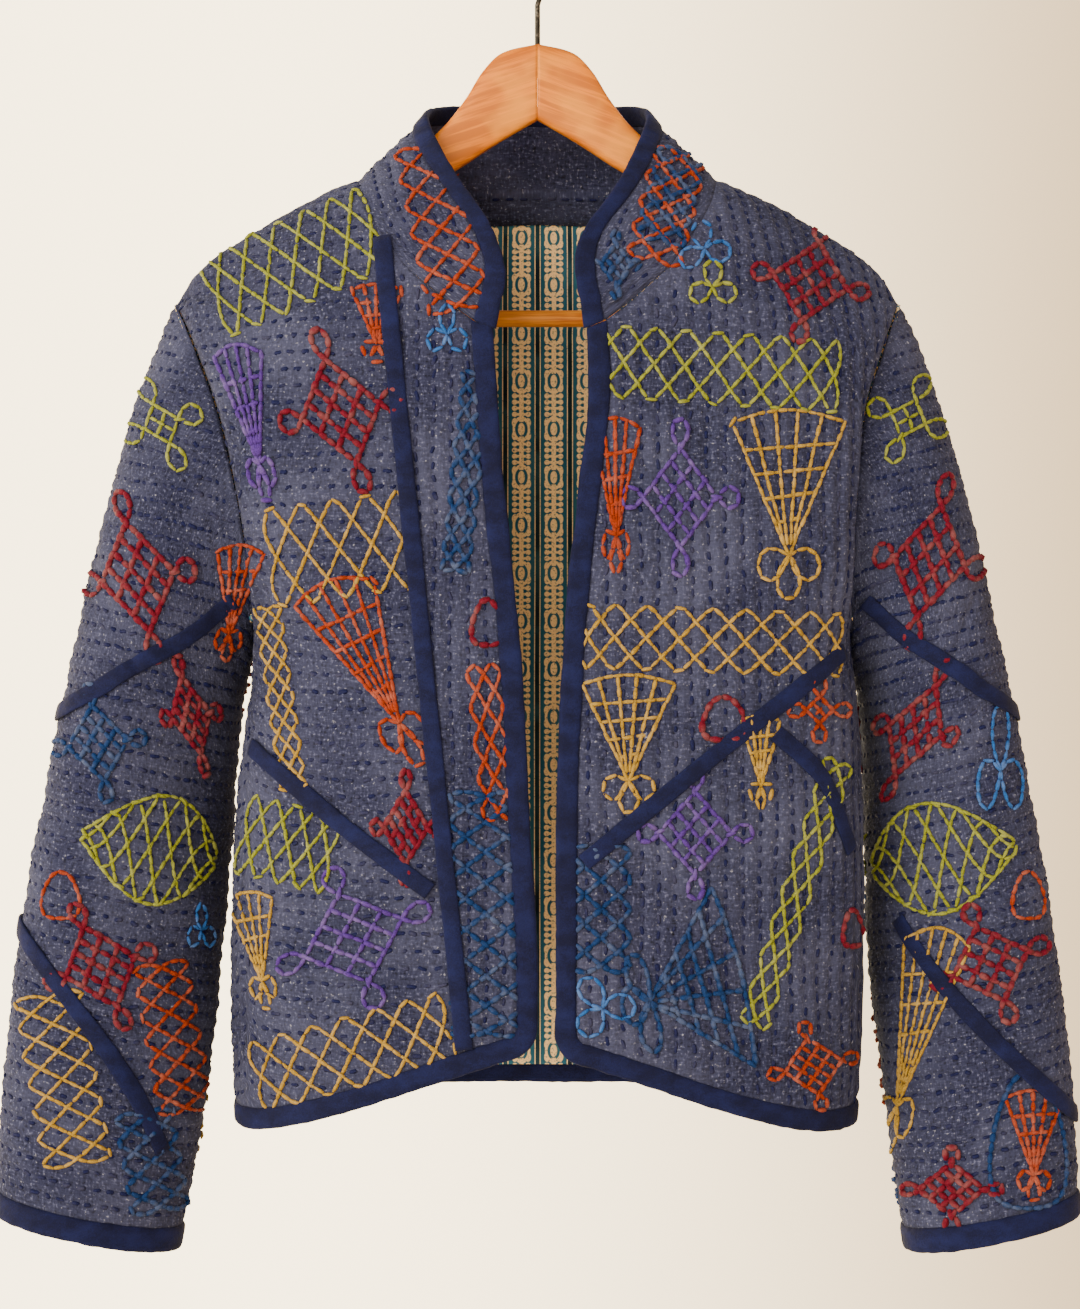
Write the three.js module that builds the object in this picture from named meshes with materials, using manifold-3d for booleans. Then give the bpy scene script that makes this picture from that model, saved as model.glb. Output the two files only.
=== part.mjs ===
import * as THREE from 'three';
import { mergeVertices } from 'three/addons/utils/BufferGeometryUtils.js';
import Module from 'manifold-3d';

// A quilted open-front jacket with a stand collar, filled out as if worn, on a wooden hanger with a wire hook.
// Sizes are in millimetres. The wearer's right is at -X, the front faces -Y and up is +Z.
// Heights (h) in the tables are measured up from the top of the hanger's wood; the origin is HOOK_REACH above it.
const HOOK_REACH = 79;

const CLOTH = 2.2;
const SKIN = 1;
const SEAM = 0.3;
const RIDGE = 0.7;
const MITRE_LIMIT = 2.2;

const BINDING_WIDTH = 12.5;
const CUFF_WIDTH = 15;
const BINDING_PROUD = 1.4;
const BINDING_DEEP = 3.6;
const BINDING_ROUND = 1.8;
const EDGE_INSET = BINDING_WIDTH + SEAM;
const CORNER_RADIUS = 22;
const CLOTH_CORNER = CORNER_RADIUS - EDGE_INSET;

const STRIP_WIDTH = 11.5;
const STRIP_LIFT = 1.6;
const STRIP_THICKNESS = 1;

// Where the shoulder seam runs, from under the collar to the top of the armhole.
const NECK_X = 118;
const SHOULDER_X = 238;
const SHOULDER = [
  { x: 0, h: -57 },
  { x: 60, h: -69 },
  { x: NECK_X, h: -90 },
  { x: 150, h: -104 },
  { x: 182, h: -122 },
  { x: 209, h: -138 },
  { x: 227, h: -153.5 },
  { x: SHOULDER_X, h: -171 },
];

// Half width of the body at the armhole seam and the side seam, and how square its section is.
const ARMHOLE_TOP = -171;
const UNDERARM = -385;
const BODY = [
  { h: -171, right: 238, left: 238, rightBend: 2.2, leftBend: 2.5 },
  { h: -200, right: 224, left: 226, rightBend: 2.2, leftBend: 2.6 },
  { h: -247, right: 206, left: 211, rightBend: 2.3, leftBend: 2.8 },
  { h: -300, right: 194, left: 206, rightBend: 2.4, leftBend: 2.9 },
  { h: -350, right: 187, left: 204, rightBend: 2.5, leftBend: 3 },
  { h: -385, right: 186, left: 204, rightBend: 2.5, leftBend: 3 },
  { h: -430, right: 188, left: 208, rightBend: 2.6, leftBend: 3 },
  { h: -490, right: 196, left: 212, rightBend: 2.6, leftBend: 2.9 },
  { h: -560, right: 200, left: 213, rightBend: 2.6, leftBend: 2.8 },
  { h: -640, right: 200, left: 212, rightBend: 2.6, leftBend: 2.7 },
  { h: -707, right: 197, left: 208, rightBend: 2.6, leftBend: 2.7 },
];

// How far the front and the back stand from the middle, and over what drop they round off from the shoulder.
const DEPTH = [
  { h: -80, front: 84, back: 76 },
  { h: -260, front: 88, back: 80 },
  { h: -450, front: 93, back: 85 },
  { h: -707, front: 98, back: 90 },
];
const ROUND_OFF = { front: 130, back: 70 };
const ARMHOLE_DEPTH = { front: 44, back: 46 };
const SIDE_SEAM_Y = -6;

// The outer edge of the front bindings, as x on the wearer's right and left.
const FRONT_EDGE = [
  { h: -192, right: -28, left: 30.5 },
  { h: -238, right: -25, left: 32 },
  { h: -303, right: -20, left: 25 },
  { h: -368, right: -13, left: 18 },
  { h: -431, right: -8, left: 14 },
  { h: -497, right: -5, left: 11.5 },
  { h: -584, right: 0, left: 11 },
  { h: -651, right: 1, left: 10.8 },
];

// The lower edge of the hem bindings.
const HEM = [
  { x: 0, front: -650, back: -698.5 },
  { x: 66, front: -671.6, back: -699 },
  { x: 125, front: -692, back: -701.5 },
  { x: 178, front: -706, back: -705 },
  { x: 212, front: -707, back: -707 },
];

// The neckline from the shoulder seam to the front edge, and from the shoulder seam to the middle of the back.
const NECK_FRONT = [
  { at: 0, x: NECK_X, h: -90 },
  { at: 0.14, x: 112, h: -111 },
  { at: 0.28, x: 103, h: -128 },
  { at: 0.43, x: 92, h: -145 },
  { at: 0.56, x: 82, h: -158 },
  { at: 0.7, x: 69, h: -170 },
  { at: 0.85, x: 55, h: -182 },
  { at: 1, x: 41, h: -192 },
];
const NECK_BACK = [
  { x: 0, h: -87 },
  { x: 60, h: -89 },
  { x: 100, h: -91 },
  { x: NECK_X, h: -90 },
];

// The seam between the centre band and the rest of the wearer's right front.
const BAND_TOP_STATION = 3;
const BAND_SEAM_BOTTOM_X = -45.5;

// The collar's upper edge, at stations counted from the front end; 6 is the shoulder and 9 the middle of the back.
const COLLAR_EDGE = [
  { at: 0.7, right: 23.5, left: 26.7, y: -91, h: -185.5 },
  { at: 1.5, right: 19.1, left: 23, y: -88, h: -170 },
  { at: 2.3, right: 19.2, left: 22, y: -84, h: -157 },
  { at: 3, right: 23, left: 24, y: -78, h: -143 },
  { at: 3.6, right: 29, left: 31, y: -72, h: -128.5 },
  { at: 4.2, right: 38.7, left: 42, y: -62, h: -112.5 },
  { at: 5.1, right: 53, left: 55, y: -44, h: -89 },
  { at: 5.7, right: 65, left: 65, y: -24, h: -65 },
  { at: 6.2, right: 71, left: 71, y: -5, h: -47 },
  { at: 7, right: 66, left: 66, y: 24, h: -36 },
  { at: 8, right: 42, left: 42, y: 50, h: -30 },
  { at: 9, right: 0, left: 0, y: 60, h: -29 },
];
const COLLAR_FRONT_END = { x: 0.93, h: -0.37 };
const COLLAR_FRONT_WIDTH = 3;
const COLLAR_BULGE = 2.5;

// Sleeve sections from the armhole (t = 0) to the cuff (t = 1): their outer and inner points,
// half depth, middle, and how far the inner side is turned to the back.
const SLEEVE = [
  { t: 0, outX: 238, outH: -171, rightX: 186, leftX: 204, inH: -385, depth: 45, mid: -3, turn: 0 },
  { t: 0.12, outX: 262, outH: -226, rightX: 191, leftX: 209, inH: -412, depth: 56, mid: 0, turn: 14 },
  { t: 0.25, outX: 283, outH: -300, rightX: 197, leftX: 215, inH: -439, depth: 60, mid: 0, turn: 26 },
  { t: 0.4, outX: 302, outH: -385, rightX: 202, leftX: 218, inH: -481, depth: 58, mid: 0, turn: 32 },
  { t: 0.55, outX: 320, outH: -470, rightX: 206, leftX: 220, inH: -542, depth: 55, mid: -2, turn: 32 },
  { t: 0.7, outX: 336, outH: -560, rightX: 212, leftX: 222, inH: -615, depth: 51, mid: -4, turn: 26 },
  { t: 0.85, outX: 348, outH: -660, rightX: 221, leftX: 231, inH: -700, depth: 46, mid: -8, turn: 16 },
  { t: 1, outX: 355, outH: -770, rightX: 236, leftX: 242, inH: -793, depth: 42, mid: -12, turn: 8 },
];
const SLEEVE_CAP = 0.3;
const SLEEVE_LENGTH = 670;
const SLEEVE_CLOTH_END = 1 - (CUFF_WIDTH + SEAM) / SLEEVE_LENGTH;

// Soft folds in the body: a trough at x, between two heights, leaning with the height.
const BODY_FOLDS = [
  { face: 'front', x: -128, top: -300, bottom: -700, lean: 0.04, width: 20, depth: 2.6 },
  { face: 'front', x: 132, top: -480, bottom: -705, lean: -0.03, width: 22, depth: 2.4 },
  { face: 'back', x: -96, top: -190, bottom: -700, lean: 0.03, width: 26, depth: 4.5 },
  { face: 'back', x: 8, top: -330, bottom: -700, lean: -0.02, width: 24, depth: 3.6 },
  { face: 'back', x: 104, top: -220, bottom: -700, lean: -0.04, width: 28, depth: 4.2 },
];

// Soft folds across the sleeves: where they run, how they slant, the side of the sleeve they centre on.
const SLEEVE_FOLDS = [
  { t: 0.2, slant: 0.05, facing: 150, width: 0.035, depth: 3 },
  { t: 0.47, slant: -0.05, facing: 120, width: 0.035, depth: 3.2 },
  { t: 0.62, slant: 0.04, facing: 60, width: 0.04, depth: 2.4 },
  { t: 0.4, slant: 0.05, facing: 250, width: 0.04, depth: 3 },
];

// Stations of the cloth pieces, and how finely each one's outer layer is divided for the quilting.
const ARMHOLE_ROWS = 8;
const SIDE_ROWS = 12;
const NECK_ROWS = 6;
const SHOULDER_COLUMNS = 4;
const BACK_NECK_COLUMNS = 6;
const LEFT_COLUMNS = 9;
const BAND_COLUMNS = 3;
const SLEEVE_ROWS = 14;
const COLLAR_ROWS = 3;
const FINE_STEPS = 5;
const BACK_STEPS = 3;
const SLEEVE_STEPS = 3;
const LINING_DEEPER = 1.5;

// Navy strips on the body, as points along their middle lines.
const DIAGONAL_STRIP_RIGHT = [
  { x: -183, h: -462 },
  { x: -124, h: -509 },
  { x: -67, h: -551 },
];
const DIAGONAL_STRIP_LEFT = [
  { x: 29, h: -533 },
  { x: 116, h: -462 },
  { x: 196, h: -401 },
];
const SIDE_STRIP_LEFT = [
  { x: 150, h: -452 },
  { x: 181, h: -482 },
  { x: 200, h: -528 },
];

// Navy strips round the sleeves: their place on the outer side, and at the front and back of the inner side.
const SLEEVE_STRIPS = [
  { name: 'upper_sleeve_strip_right', side: -1, outer: 0.5, front: 0.12, back: 0.17 },
  { name: 'lower_sleeve_strip_right', side: -1, outer: 0.73, front: 0.9, back: 0.86 },
  { name: 'upper_sleeve_strip_left', side: 1, outer: 0.5, front: 0.12, back: 0.17 },
  { name: 'lower_sleeve_strip_left', side: 1, outer: 0.91, front: 0.64, back: 0.68 },
];
const STRIP_END_STATION = 6;
const STRIP_SUBSTEPS = 3;

// The hanger's arm: slices across it, with the height of its top and bottom and its half thickness.
// Past the neck its top is given as a drop below the shoulder seam.
const ARM_SLICES = [
  { x: 0.15, top: 0, bottom: -50, half: 7 },
  { x: 24, top: -6.3, bottom: -64, half: 7 },
  { x: 36.6, top: -18.8, bottom: -72, half: 7 },
  { x: 47.2, top: -36, bottom: -79, half: 7 },
  { x: 61.7, top: -54.5, bottom: -88, half: 7 },
  { x: 90, top: -79, bottom: -109, half: 7 },
  { x: 118, drop: 9, bottom: -126, half: 7 },
  { x: 150, drop: 7, bottom: -144, half: 7 },
  { x: 184, drop: 8, bottom: -165, half: 7 },
  { x: 193, drop: 9, bottom: -190, half: 7 },
  { x: 210, drop: 12, bottom: -191, half: 7 },
  { x: 217, drop: 17, bottom: -181, half: 5 },
  { x: 220, drop: 21, bottom: -174, half: 3 },
];
const BAR_RADIUS = 5.5;
const BAR_HEIGHT = -181;
const BAR_HALF_LENGTH = 203;
const BAR_SIDES = 16;
const WIRE_RADIUS = 1.75;
const WIRE_DEPTH = 22;
const HOOK_CENTRE = 60;
const HOOK_RADIUS = 20.75;
const HOOK_PATH = [
  { x: 0, h: -WIRE_DEPTH },
  { x: 0, h: 4 },
  { x: 0, h: 26 },
  { x: 2.4, h: 34 },
  { x: 8, h: 40.6 },
];
const HOOK_START = -50;
const HOOK_END = 205;
const HOOK_STEPS = 15;

const COLORS = {
  cloth: 0x5c607a,
  binding: 0x24305f,
  lining: 0x2f6274,
  wood: 0xd9974f,
  wire: 0x2e2c2b,
};

const wasm = await Module();
wasm.setup();

const vector = (x, y, z) => new THREE.Vector3(x, y, z);
const { clamp, lerp, degToRad } = THREE.MathUtils;
const sideName = (side) => (side < 0 ? 'right' : 'left');
const faceSign = (face) => (face === 'front' ? -1 : 1);

// A smooth curve through one column of a table, read at the table's key column.
function column(table, key, name) {
  const keys = table.map((row) => row[key]);
  const values = table.map((row) => row[name]);
  const last = keys.length - 1;
  const slopes = keys.map((_, i) => {
    const before = Math.max(i - 1, 0);
    const after = Math.min(i + 1, last);
    return (values[after] - values[before]) / (keys[after] - keys[before]);
  });
  const direction = Math.sign(keys[last] - keys[0]);
  return (at) => {
    let i = 0;
    while (i < last - 1 && (at - keys[i + 1]) * direction > 0) {
      i += 1;
    }
    const span = keys[i + 1] - keys[i];
    const w = clamp((at - keys[i]) / span, 0, 1);
    const rise = values[i + 1] - values[i];
    const bow = (1 - w) * (slopes[i] * span - rise) - w * (slopes[i + 1] * span - rise);
    return values[i] + rise * w + w * (1 - w) * bow;
  };
}

const shoulderHeight = column(SHOULDER, 'x', 'h');
const halfWidth = { right: column(BODY, 'h', 'right'), left: column(BODY, 'h', 'left') };
const bend = { right: column(BODY, 'h', 'rightBend'), left: column(BODY, 'h', 'leftBend') };
const depth = { front: column(DEPTH, 'h', 'front'), back: column(DEPTH, 'h', 'back') };
const frontEdge = { right: column(FRONT_EDGE, 'h', 'right'), left: column(FRONT_EDGE, 'h', 'left') };
const hemHeight = { front: column(HEM, 'x', 'front'), back: column(HEM, 'x', 'back') };
const neckX = column(NECK_FRONT, 'at', 'x');
const neckHeight = column(NECK_FRONT, 'at', 'h');
const backNeckHeight = column(NECK_BACK, 'x', 'h');

// How far the armhole seam stands from its middle line at a height.
function armholeDepth(face, h) {
  const w = clamp((ARMHOLE_TOP - h) / (ARMHOLE_TOP - UNDERARM), 0, 1);
  return 2 * ARMHOLE_DEPTH[face] * Math.sqrt(w * (1 - w));
}

// How deep the body's folds are at a place.
function foldDepth(face, x, h) {
  return BODY_FOLDS.filter((fold) => fold.face === face).reduce((sum, fold) => {
    const w = clamp((fold.top - h) / (fold.top - fold.bottom), 0, 1);
    const away = (x - fold.x - fold.lean * (h - fold.top)) / fold.width;
    return sum + fold.depth * Math.sin(Math.PI * w) ** 2 * Math.exp(-away * away);
  }, 0);
}

// The body's outer surface at a place seen from the front, on its front or back face.
function bodyPoint(face, x, h) {
  const side = sideName(x);
  const power = bend[side](h);
  const swell = Math.pow(1 - Math.pow(Math.min(Math.abs(x) / halfWidth[side](h), 1), power), 1 / power);
  const drop = clamp((shoulderHeight(Math.abs(x)) - h) / ROUND_OFF[face], 0, 1);
  const round = Math.sqrt(1 - (1 - drop) ** 2);
  const edge = armholeDepth(face, h);
  const full = Math.max(depth[face](h) * round, edge) - foldDepth(face, x, h);
  const middle = SIDE_SEAM_Y * clamp((ARMHOLE_TOP - h) / (ARMHOLE_TOP - UNDERARM), 0, 1) * (1 - swell);
  return vector(x, middle + faceSign(face) * (edge + (full - edge) * swell), h);
}

// Places along a curve at equal distances over the body's surface.
function evenly(face, curve, count) {
  const samples = 240;
  const lengths = [0];
  let before = curve(0);
  for (let i = 1; i <= samples; i += 1) {
    const place = curve(i / samples);
    const step = bodyPoint(face, place.x, place.h).distanceTo(bodyPoint(face, before.x, before.h));
    lengths.push(lengths[i - 1] + step);
    before = place;
  }
  return Array.from({ length: count + 1 }, (_, k) => {
    const target = (lengths[samples] * k) / count;
    let i = 0;
    while (i < samples - 1 && lengths[i + 1] < target) {
      i += 1;
    }
    const part = clamp((target - lengths[i]) / Math.max(lengths[i + 1] - lengths[i], 1e-9), 0, 1);
    return curve((i + part) / samples);
  });
}

const shoulderCurve = (side) => (t) => {
  const x = lerp(NECK_X, SHOULDER_X, t);
  return { x: side * x, h: shoulderHeight(x) };
};
const armholeCurve = (side) => (t) => {
  const h = lerp(ARMHOLE_TOP, UNDERARM, (1 - Math.cos(Math.PI * t)) / 2);
  return { x: side * halfWidth[sideName(side)](h), h };
};
const sideCurve = (side, bottom) => (t) => {
  const h = lerp(UNDERARM, bottom, t);
  return { x: side * halfWidth[sideName(side)](h), h };
};
const clothEdge = (side, h) => frontEdge[sideName(side)](h) + side * EDGE_INSET;
const neckCurve = (side) => (t) => {
  const end = Math.abs(clothEdge(side, neckHeight(1)));
  return { x: side * (neckX(t) + (end - neckX(1)) * t * t), h: neckHeight(t) };
};
const backNeckCurve = (t) => {
  const x = lerp(-NECK_X, NECK_X, t);
  return { x, h: backNeckHeight(Math.abs(x)) };
};
const clothHem = (face, x) => hemHeight[face](Math.abs(x)) + EDGE_INSET;
const hemCurve = (face, from, to) => (t) => {
  const x = lerp(from, to, t);
  return { x, h: clothHem(face, x) };
};

// The rounded lower corner of a front, by its angle from the front edge.
function corner(side, degrees) {
  const edge = clothEdge(side, HEM[0].front);
  const bottom = clothHem('front', edge + side * CLOTH_CORNER);
  const angle = degToRad(degrees);
  return {
    x: edge + side * CLOTH_CORNER * (1 - Math.cos(angle)),
    h: bottom + CLOTH_CORNER * (1 - Math.sin(angle)),
  };
}

// A grid of places between four rows of stations that meet at their ends.
function patch(top, bottom, inner, outer) {
  const columns = top.length - 1;
  const rows = inner.length - 1;
  const distance = (a, b) => Math.hypot(a.x - b.x, a.h - b.h);
  const shares = (line) => {
    const sums = line.reduce((list, place, i) => [...list, i ? list[i - 1] + distance(place, line[i - 1]) : 0], []);
    return sums.map((sum) => sum / sums[sums.length - 1]);
  };
  const across = [shares(top), shares(bottom)];
  const down = [shares(inner), shares(outer)];
  return Array.from({ length: rows + 1 }, (_, j) => Array.from({ length: columns + 1 }, (_unused, k) => {
    const v = (down[0][j] + down[1][j]) / 2;
    const u = lerp(across[0][k], across[1][k], v);
    const mixed = (name) => {
      const sides = (1 - u) * inner[j][name] + u * outer[j][name];
      const ends = (1 - v) * top[k][name] + v * bottom[k][name];
      const upper = (1 - u) * top[0][name] + u * top[columns][name];
      const lower = (1 - u) * bottom[0][name] + u * bottom[columns][name];
      return sides + ends - (1 - v) * upper - v * lower;
    };
    return { x: mixed('x'), h: mixed('h') };
  }));
}

// Gives each point of a grid its normal, away from a reference direction found for the point.
function withNormals(points, outward, closed = false) {
  const rows = points.length;
  const columns = points[0].length;
  const near = (k) => (closed ? (k + columns) % columns : clamp(k, 0, columns - 1));
  const grid = points.map((line, j) => line.map((p, k) => {
    const below = points[Math.min(j + 1, rows - 1)][k];
    const above = points[Math.max(j - 1, 0)][k];
    const along = below.clone().sub(above);
    const across = line[near(k + 1)].clone().sub(line[near(k - 1)]);
    return { p: p.clone(), n: along.cross(across).normalize(), deep: 1 };
  }));
  const facing = grid.flat().reduce((sum, node) => sum + Math.sign(node.n.dot(outward(node.p))), 0);
  grid.flat().forEach((node) => node.n.multiplyScalar(Math.sign(facing)));
  return grid;
}

// The body's grids face away from its middle.
function bodyGrid(face, places) {
  const points = places.map((line) => line.map((place) => bodyPoint(face, place.x, place.h)));
  return withNormals(points, (p) => vector(Math.sign(p.x) / 2, faceSign(face), 1 / 5));
}

// Lays a node's normal in the plane of the shoulder and side seams.
function level(node) {
  node.n.setY(0).normalize();
}

// Turns a node's normal away from the middle of the armhole, and deepens its rim to suit.
function mitre(node, centre) {
  const rim = node.p.clone().sub(centre).normalize();
  node.deep = clamp(1 / Math.max(Math.abs(rim.dot(node.n)), 1e-3), 1, MITRE_LIMIT);
  node.n.copy(rim);
}

// Moves a grid's border inwards along its surface.
function inset(grid, amount, closed = false) {
  const rows = grid.length - 1;
  const columns = grid[0].length - 1;
  const moves = [];
  const move = (node, inner) => moves.push([node, inner.p.clone().sub(node.p).setLength(amount)]);
  grid[0].forEach((node, k) => move(node, grid[1][k]));
  grid[rows].forEach((node, k) => move(node, grid[rows - 1][k]));
  if (!closed) {
    grid.forEach((line) => move(line[0], line[1]));
    grid.forEach((line) => move(line[columns], line[columns - 1]));
  }
  moves.forEach(([node, step]) => node.p.add(step));
}

// A closed solid from vertices and triangles, turned so that its faces point out.
function solid(vertices, triangles) {
  const volume = triangles.reduce((sum, [a, b, c]) => {
    const cross = vertices[b].clone().cross(vertices[c]);
    return sum + vertices[a].dot(cross);
  }, 0);
  const facing = volume < 0 ? triangles.map(([a, b, c]) => [a, c, b]) : triangles;
  const geometry = new THREE.BufferGeometry();
  geometry.setAttribute('position', new THREE.Float32BufferAttribute(vertices.flatMap((v) => [v.x, v.y, v.z]), 3));
  geometry.setIndex(facing.flat());
  geometry.computeVertexNormals();
  return geometry;
}

// Splits stations into fine ones: for each, the stations on either side and the share between them.
function fineStations(steps) {
  const stations = steps.flatMap((count, i) => Array.from({ length: count }, (_, m) => ({ i, w: m / count })));
  return [...stations, { i: steps.length - 1, w: 1 }];
}

// A wall of cloth between two offsets below a grid. Its outer layer is divided by the steps and raised into
// ridges along or down the grid; its inner layer is plain, and rims close it.
function wall(grid, { from, to, rowSteps, columnSteps, ridges = 'none', closed = false }) {
  const rowsFine = fineStations(rowSteps);
  const columnsFine = fineStations(columnSteps);
  if (closed) {
    columnsFine.pop();
  }
  const wrap = grid[0].length;
  const lastRow = rowsFine.length - 1;
  const lastColumn = columnsFine.length - 1;
  const vertices = rowsFine.flatMap((row, a) => columnsFine.map((col, b) => {
    const next = (col.i + 1) % wrap;
    const corners = [grid[row.i][col.i], grid[row.i + 1][col.i], grid[row.i][next], grid[row.i + 1][next]];
    const shares = [(1 - row.w) * (1 - col.w), row.w * (1 - col.w), (1 - row.w) * col.w, row.w * col.w];
    const sums = corners.reduce((sum, node, m) => {
      sum.p.addScaledVector(node.p, shares[m]).addScaledVector(node.n, -from * node.deep * shares[m]);
      sum.n.addScaledVector(node.n, shares[m]);
      return sum;
    }, { p: vector(0, 0, 0), n: vector(0, 0, 0) });
    const border = a === 0 || a === lastRow || (!closed && (b === 0 || b === lastColumn));
    const odd = ridges === 'across' ? a % 2 : b % 2;
    const lift = ridges === 'none' || border ? 0 : RIDGE * odd;
    return sums.p.addScaledVector(sums.n.normalize(), lift);
  }));
  const fine = (a, b) => a * columnsFine.length + (closed ? b % columnsFine.length : b);
  const base = vertices.length;
  grid.forEach((line) => line.forEach((node) => {
    vertices.push(node.p.clone().addScaledVector(node.n, -to * node.deep));
  }));
  const plain = (j, k) => base + j * wrap + (closed ? k % wrap : k);
  const triangles = [];
  const layer = (index, rows, columns, flip) => {
    for (let a = 0; a < rows; a += 1) {
      for (let b = 0; b < columns; b += 1) {
        const [p, q, r, s] = [index(a, b), index(a + 1, b), index(a + 1, b + 1), index(a, b + 1)];
        triangles.push(flip ? [p, r, q] : [p, q, r]);
        triangles.push(flip ? [p, s, r] : [p, r, s]);
      }
    }
  };
  const fineColumns = closed ? columnsFine.length : lastColumn;
  layer(fine, lastRow, fineColumns, false);
  layer(plain, grid.length - 1, closed ? wrap : wrap - 1, true);
  const zip = (outer, inner, steps) => {
    let start = 0;
    steps.forEach((count, i) => {
      const half = Math.floor(count / 2);
      for (let m = 0; m < count; m += 1) {
        const foot = m < half ? inner[i] : inner[i + 1];
        triangles.push([outer[start + m + 1], outer[start + m], foot]);
      }
      triangles.push([outer[start + half], inner[i], inner[i + 1]]);
      start += count;
    });
  };
  const span = (count) => Array.from({ length: count + 1 }, (_, i) => i);
  const rowSpan = span(lastRow);
  const rowKnots = span(rowSteps.length);
  const columnSpan = span(fineColumns);
  const columnKnots = span(columnSteps.length);
  const back = (list) => [...list].reverse();
  zip(columnSpan.map((b) => fine(lastRow, b)), columnKnots.map((k) => plain(grid.length - 1, k)), columnSteps);
  zip(back(columnSpan).map((b) => fine(0, b)), back(columnKnots).map((k) => plain(0, k)), back(columnSteps));
  if (!closed) {
    zip(rowSpan.map((a) => fine(a, 0)), rowKnots.map((j) => plain(j, 0)), rowSteps);
    zip(back(rowSpan).map((a) => fine(a, lastColumn)), back(rowKnots).map((j) => plain(j, wrap - 1)), back(rowSteps));
  }
  return solid(vertices, triangles);
}

// A section carried through stations; each has a point, a direction across and a direction out.
function sweep(stations, section, closed = false) {
  const count = section.length;
  const vertices = stations.flatMap((station) => section.map(([across, out]) => {
    const point = station.p.clone().addScaledVector(station.across, across);
    return point.addScaledVector(station.n, out);
  }));
  const triangles = [];
  const spans = closed ? stations.length : stations.length - 1;
  for (let i = 0; i < spans; i += 1) {
    const next = (i + 1) % stations.length;
    for (let m = 0; m < count; m += 1) {
      const after = (m + 1) % count;
      triangles.push([i * count + m, i * count + after, next * count + after]);
      triangles.push([i * count + m, next * count + after, next * count + m]);
    }
  }
  if (!closed) {
    const end = (stations.length - 1) * count;
    for (let m = 1; m < count - 1; m += 1) {
      triangles.push([0, m + 1, m]);
      triangles.push([end, end + m, end + m + 1]);
    }
  }
  return solid(vertices, triangles);
}

const bindingSection = (width) => [
  [SEAM, -BINDING_DEEP + BINDING_ROUND / 2],
  [SEAM + BINDING_ROUND, -BINDING_DEEP],
  [width - BINDING_ROUND, -BINDING_DEEP],
  [width, -BINDING_DEEP + BINDING_ROUND],
  [width, BINDING_PROUD - BINDING_ROUND],
  [width - BINDING_ROUND, BINDING_PROUD],
  [SEAM + BINDING_ROUND, BINDING_PROUD],
  [SEAM, BINDING_PROUD - BINDING_ROUND / 2],
];
const stripSection = [
  [-STRIP_WIDTH / 2, STRIP_LIFT],
  [STRIP_WIDTH / 2, STRIP_LIFT],
  [STRIP_WIDTH / 2, STRIP_LIFT + STRIP_THICKNESS],
  [-STRIP_WIDTH / 2, STRIP_LIFT + STRIP_THICKNESS],
];

// The body's normal at a place, found from points a short way off on either side.
function bodyNormal(face, x, h) {
  const reach = 2;
  const wide = bodyPoint(face, x + reach, h).sub(bodyPoint(face, x - reach, h));
  const tall = bodyPoint(face, x, h + reach).sub(bodyPoint(face, x, h - reach));
  const normal = wide.cross(tall).normalize();
  return normal.multiplyScalar(Math.sign(normal.dot(vector(Math.sign(x) / 2, faceSign(face), 1 / 5))));
}

// Stations for a sweep along points with normals; across points to one side of the path.
function frames(nodes, side) {
  const last = nodes.length - 1;
  return nodes.map((node, i) => {
    const along = nodes[Math.min(i + 1, last)].p.clone().sub(nodes[Math.max(i - 1, 0)].p).normalize();
    const across = along.cross(node.n).normalize().multiplyScalar(side);
    return { p: node.p.clone(), n: node.n.clone(), across };
  });
}

// Stations of the pieces' shared seams.
const shoulderStations = (side, count) => evenly('front', shoulderCurve(side), count);
const neckStations = (side) => evenly('front', neckCurve(side), NECK_ROWS);
const cornerStart = (side) => corner(side, 0);
const outerStations = (side, face) => {
  const bottom = clothHem(face, side * halfWidth[sideName(side)](HEM[4].front));
  const armhole = evenly(face, armholeCurve(side), ARMHOLE_ROWS);
  const flank = evenly(face, sideCurve(side, bottom + CLOTH_CORNER), SIDE_ROWS);
  return [...armhole, ...flank.slice(1), sideCurve(side, bottom)(1)];
};
const edgeStations = (side, rows) => {
  const top = neckHeight(1);
  const bottom = cornerStart(side).h;
  const curve = (t) => {
    const h = lerp(top, bottom, t);
    return { x: clothEdge(side, h), h };
  };
  return [...evenly('front', curve, rows - 1), corner(side, 45)];
};

const rows = ARMHOLE_ROWS + SIDE_ROWS + 1;
const bandRows = rows - BAND_TOP_STATION;
const neckRight = neckStations(-1);
const neckLeft = neckStations(1);
const bandSeamBottom = { x: BAND_SEAM_BOTTOM_X, h: clothHem('front', BAND_SEAM_BOTTOM_X) };
const bandSeam = (() => {
  const top = neckRight[BAND_TOP_STATION];
  const above = { x: BAND_SEAM_BOTTOM_X, h: bandSeamBottom.h + CLOTH_CORNER };
  const curve = (t) => ({ x: lerp(top.x, above.x, t), h: lerp(top.h, above.h, t) });
  return [...evenly('front', curve, bandRows - 1), bandSeamBottom];
})();

// The wearer's left front: one piece.
const leftOuter = outerStations(1, 'front');
const leftInner = [...neckLeft, ...edgeStations(1, rows - NECK_ROWS).slice(1)];
const leftBottom = [
  corner(1, 45),
  ...evenly('front', hemCurve('front', corner(1, 90).x, leftOuter[rows].x), LEFT_COLUMNS - 1),
];
const leftGrid = bodyGrid('front', patch(shoulderStations(1, LEFT_COLUMNS), leftBottom, leftInner, leftOuter));

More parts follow.
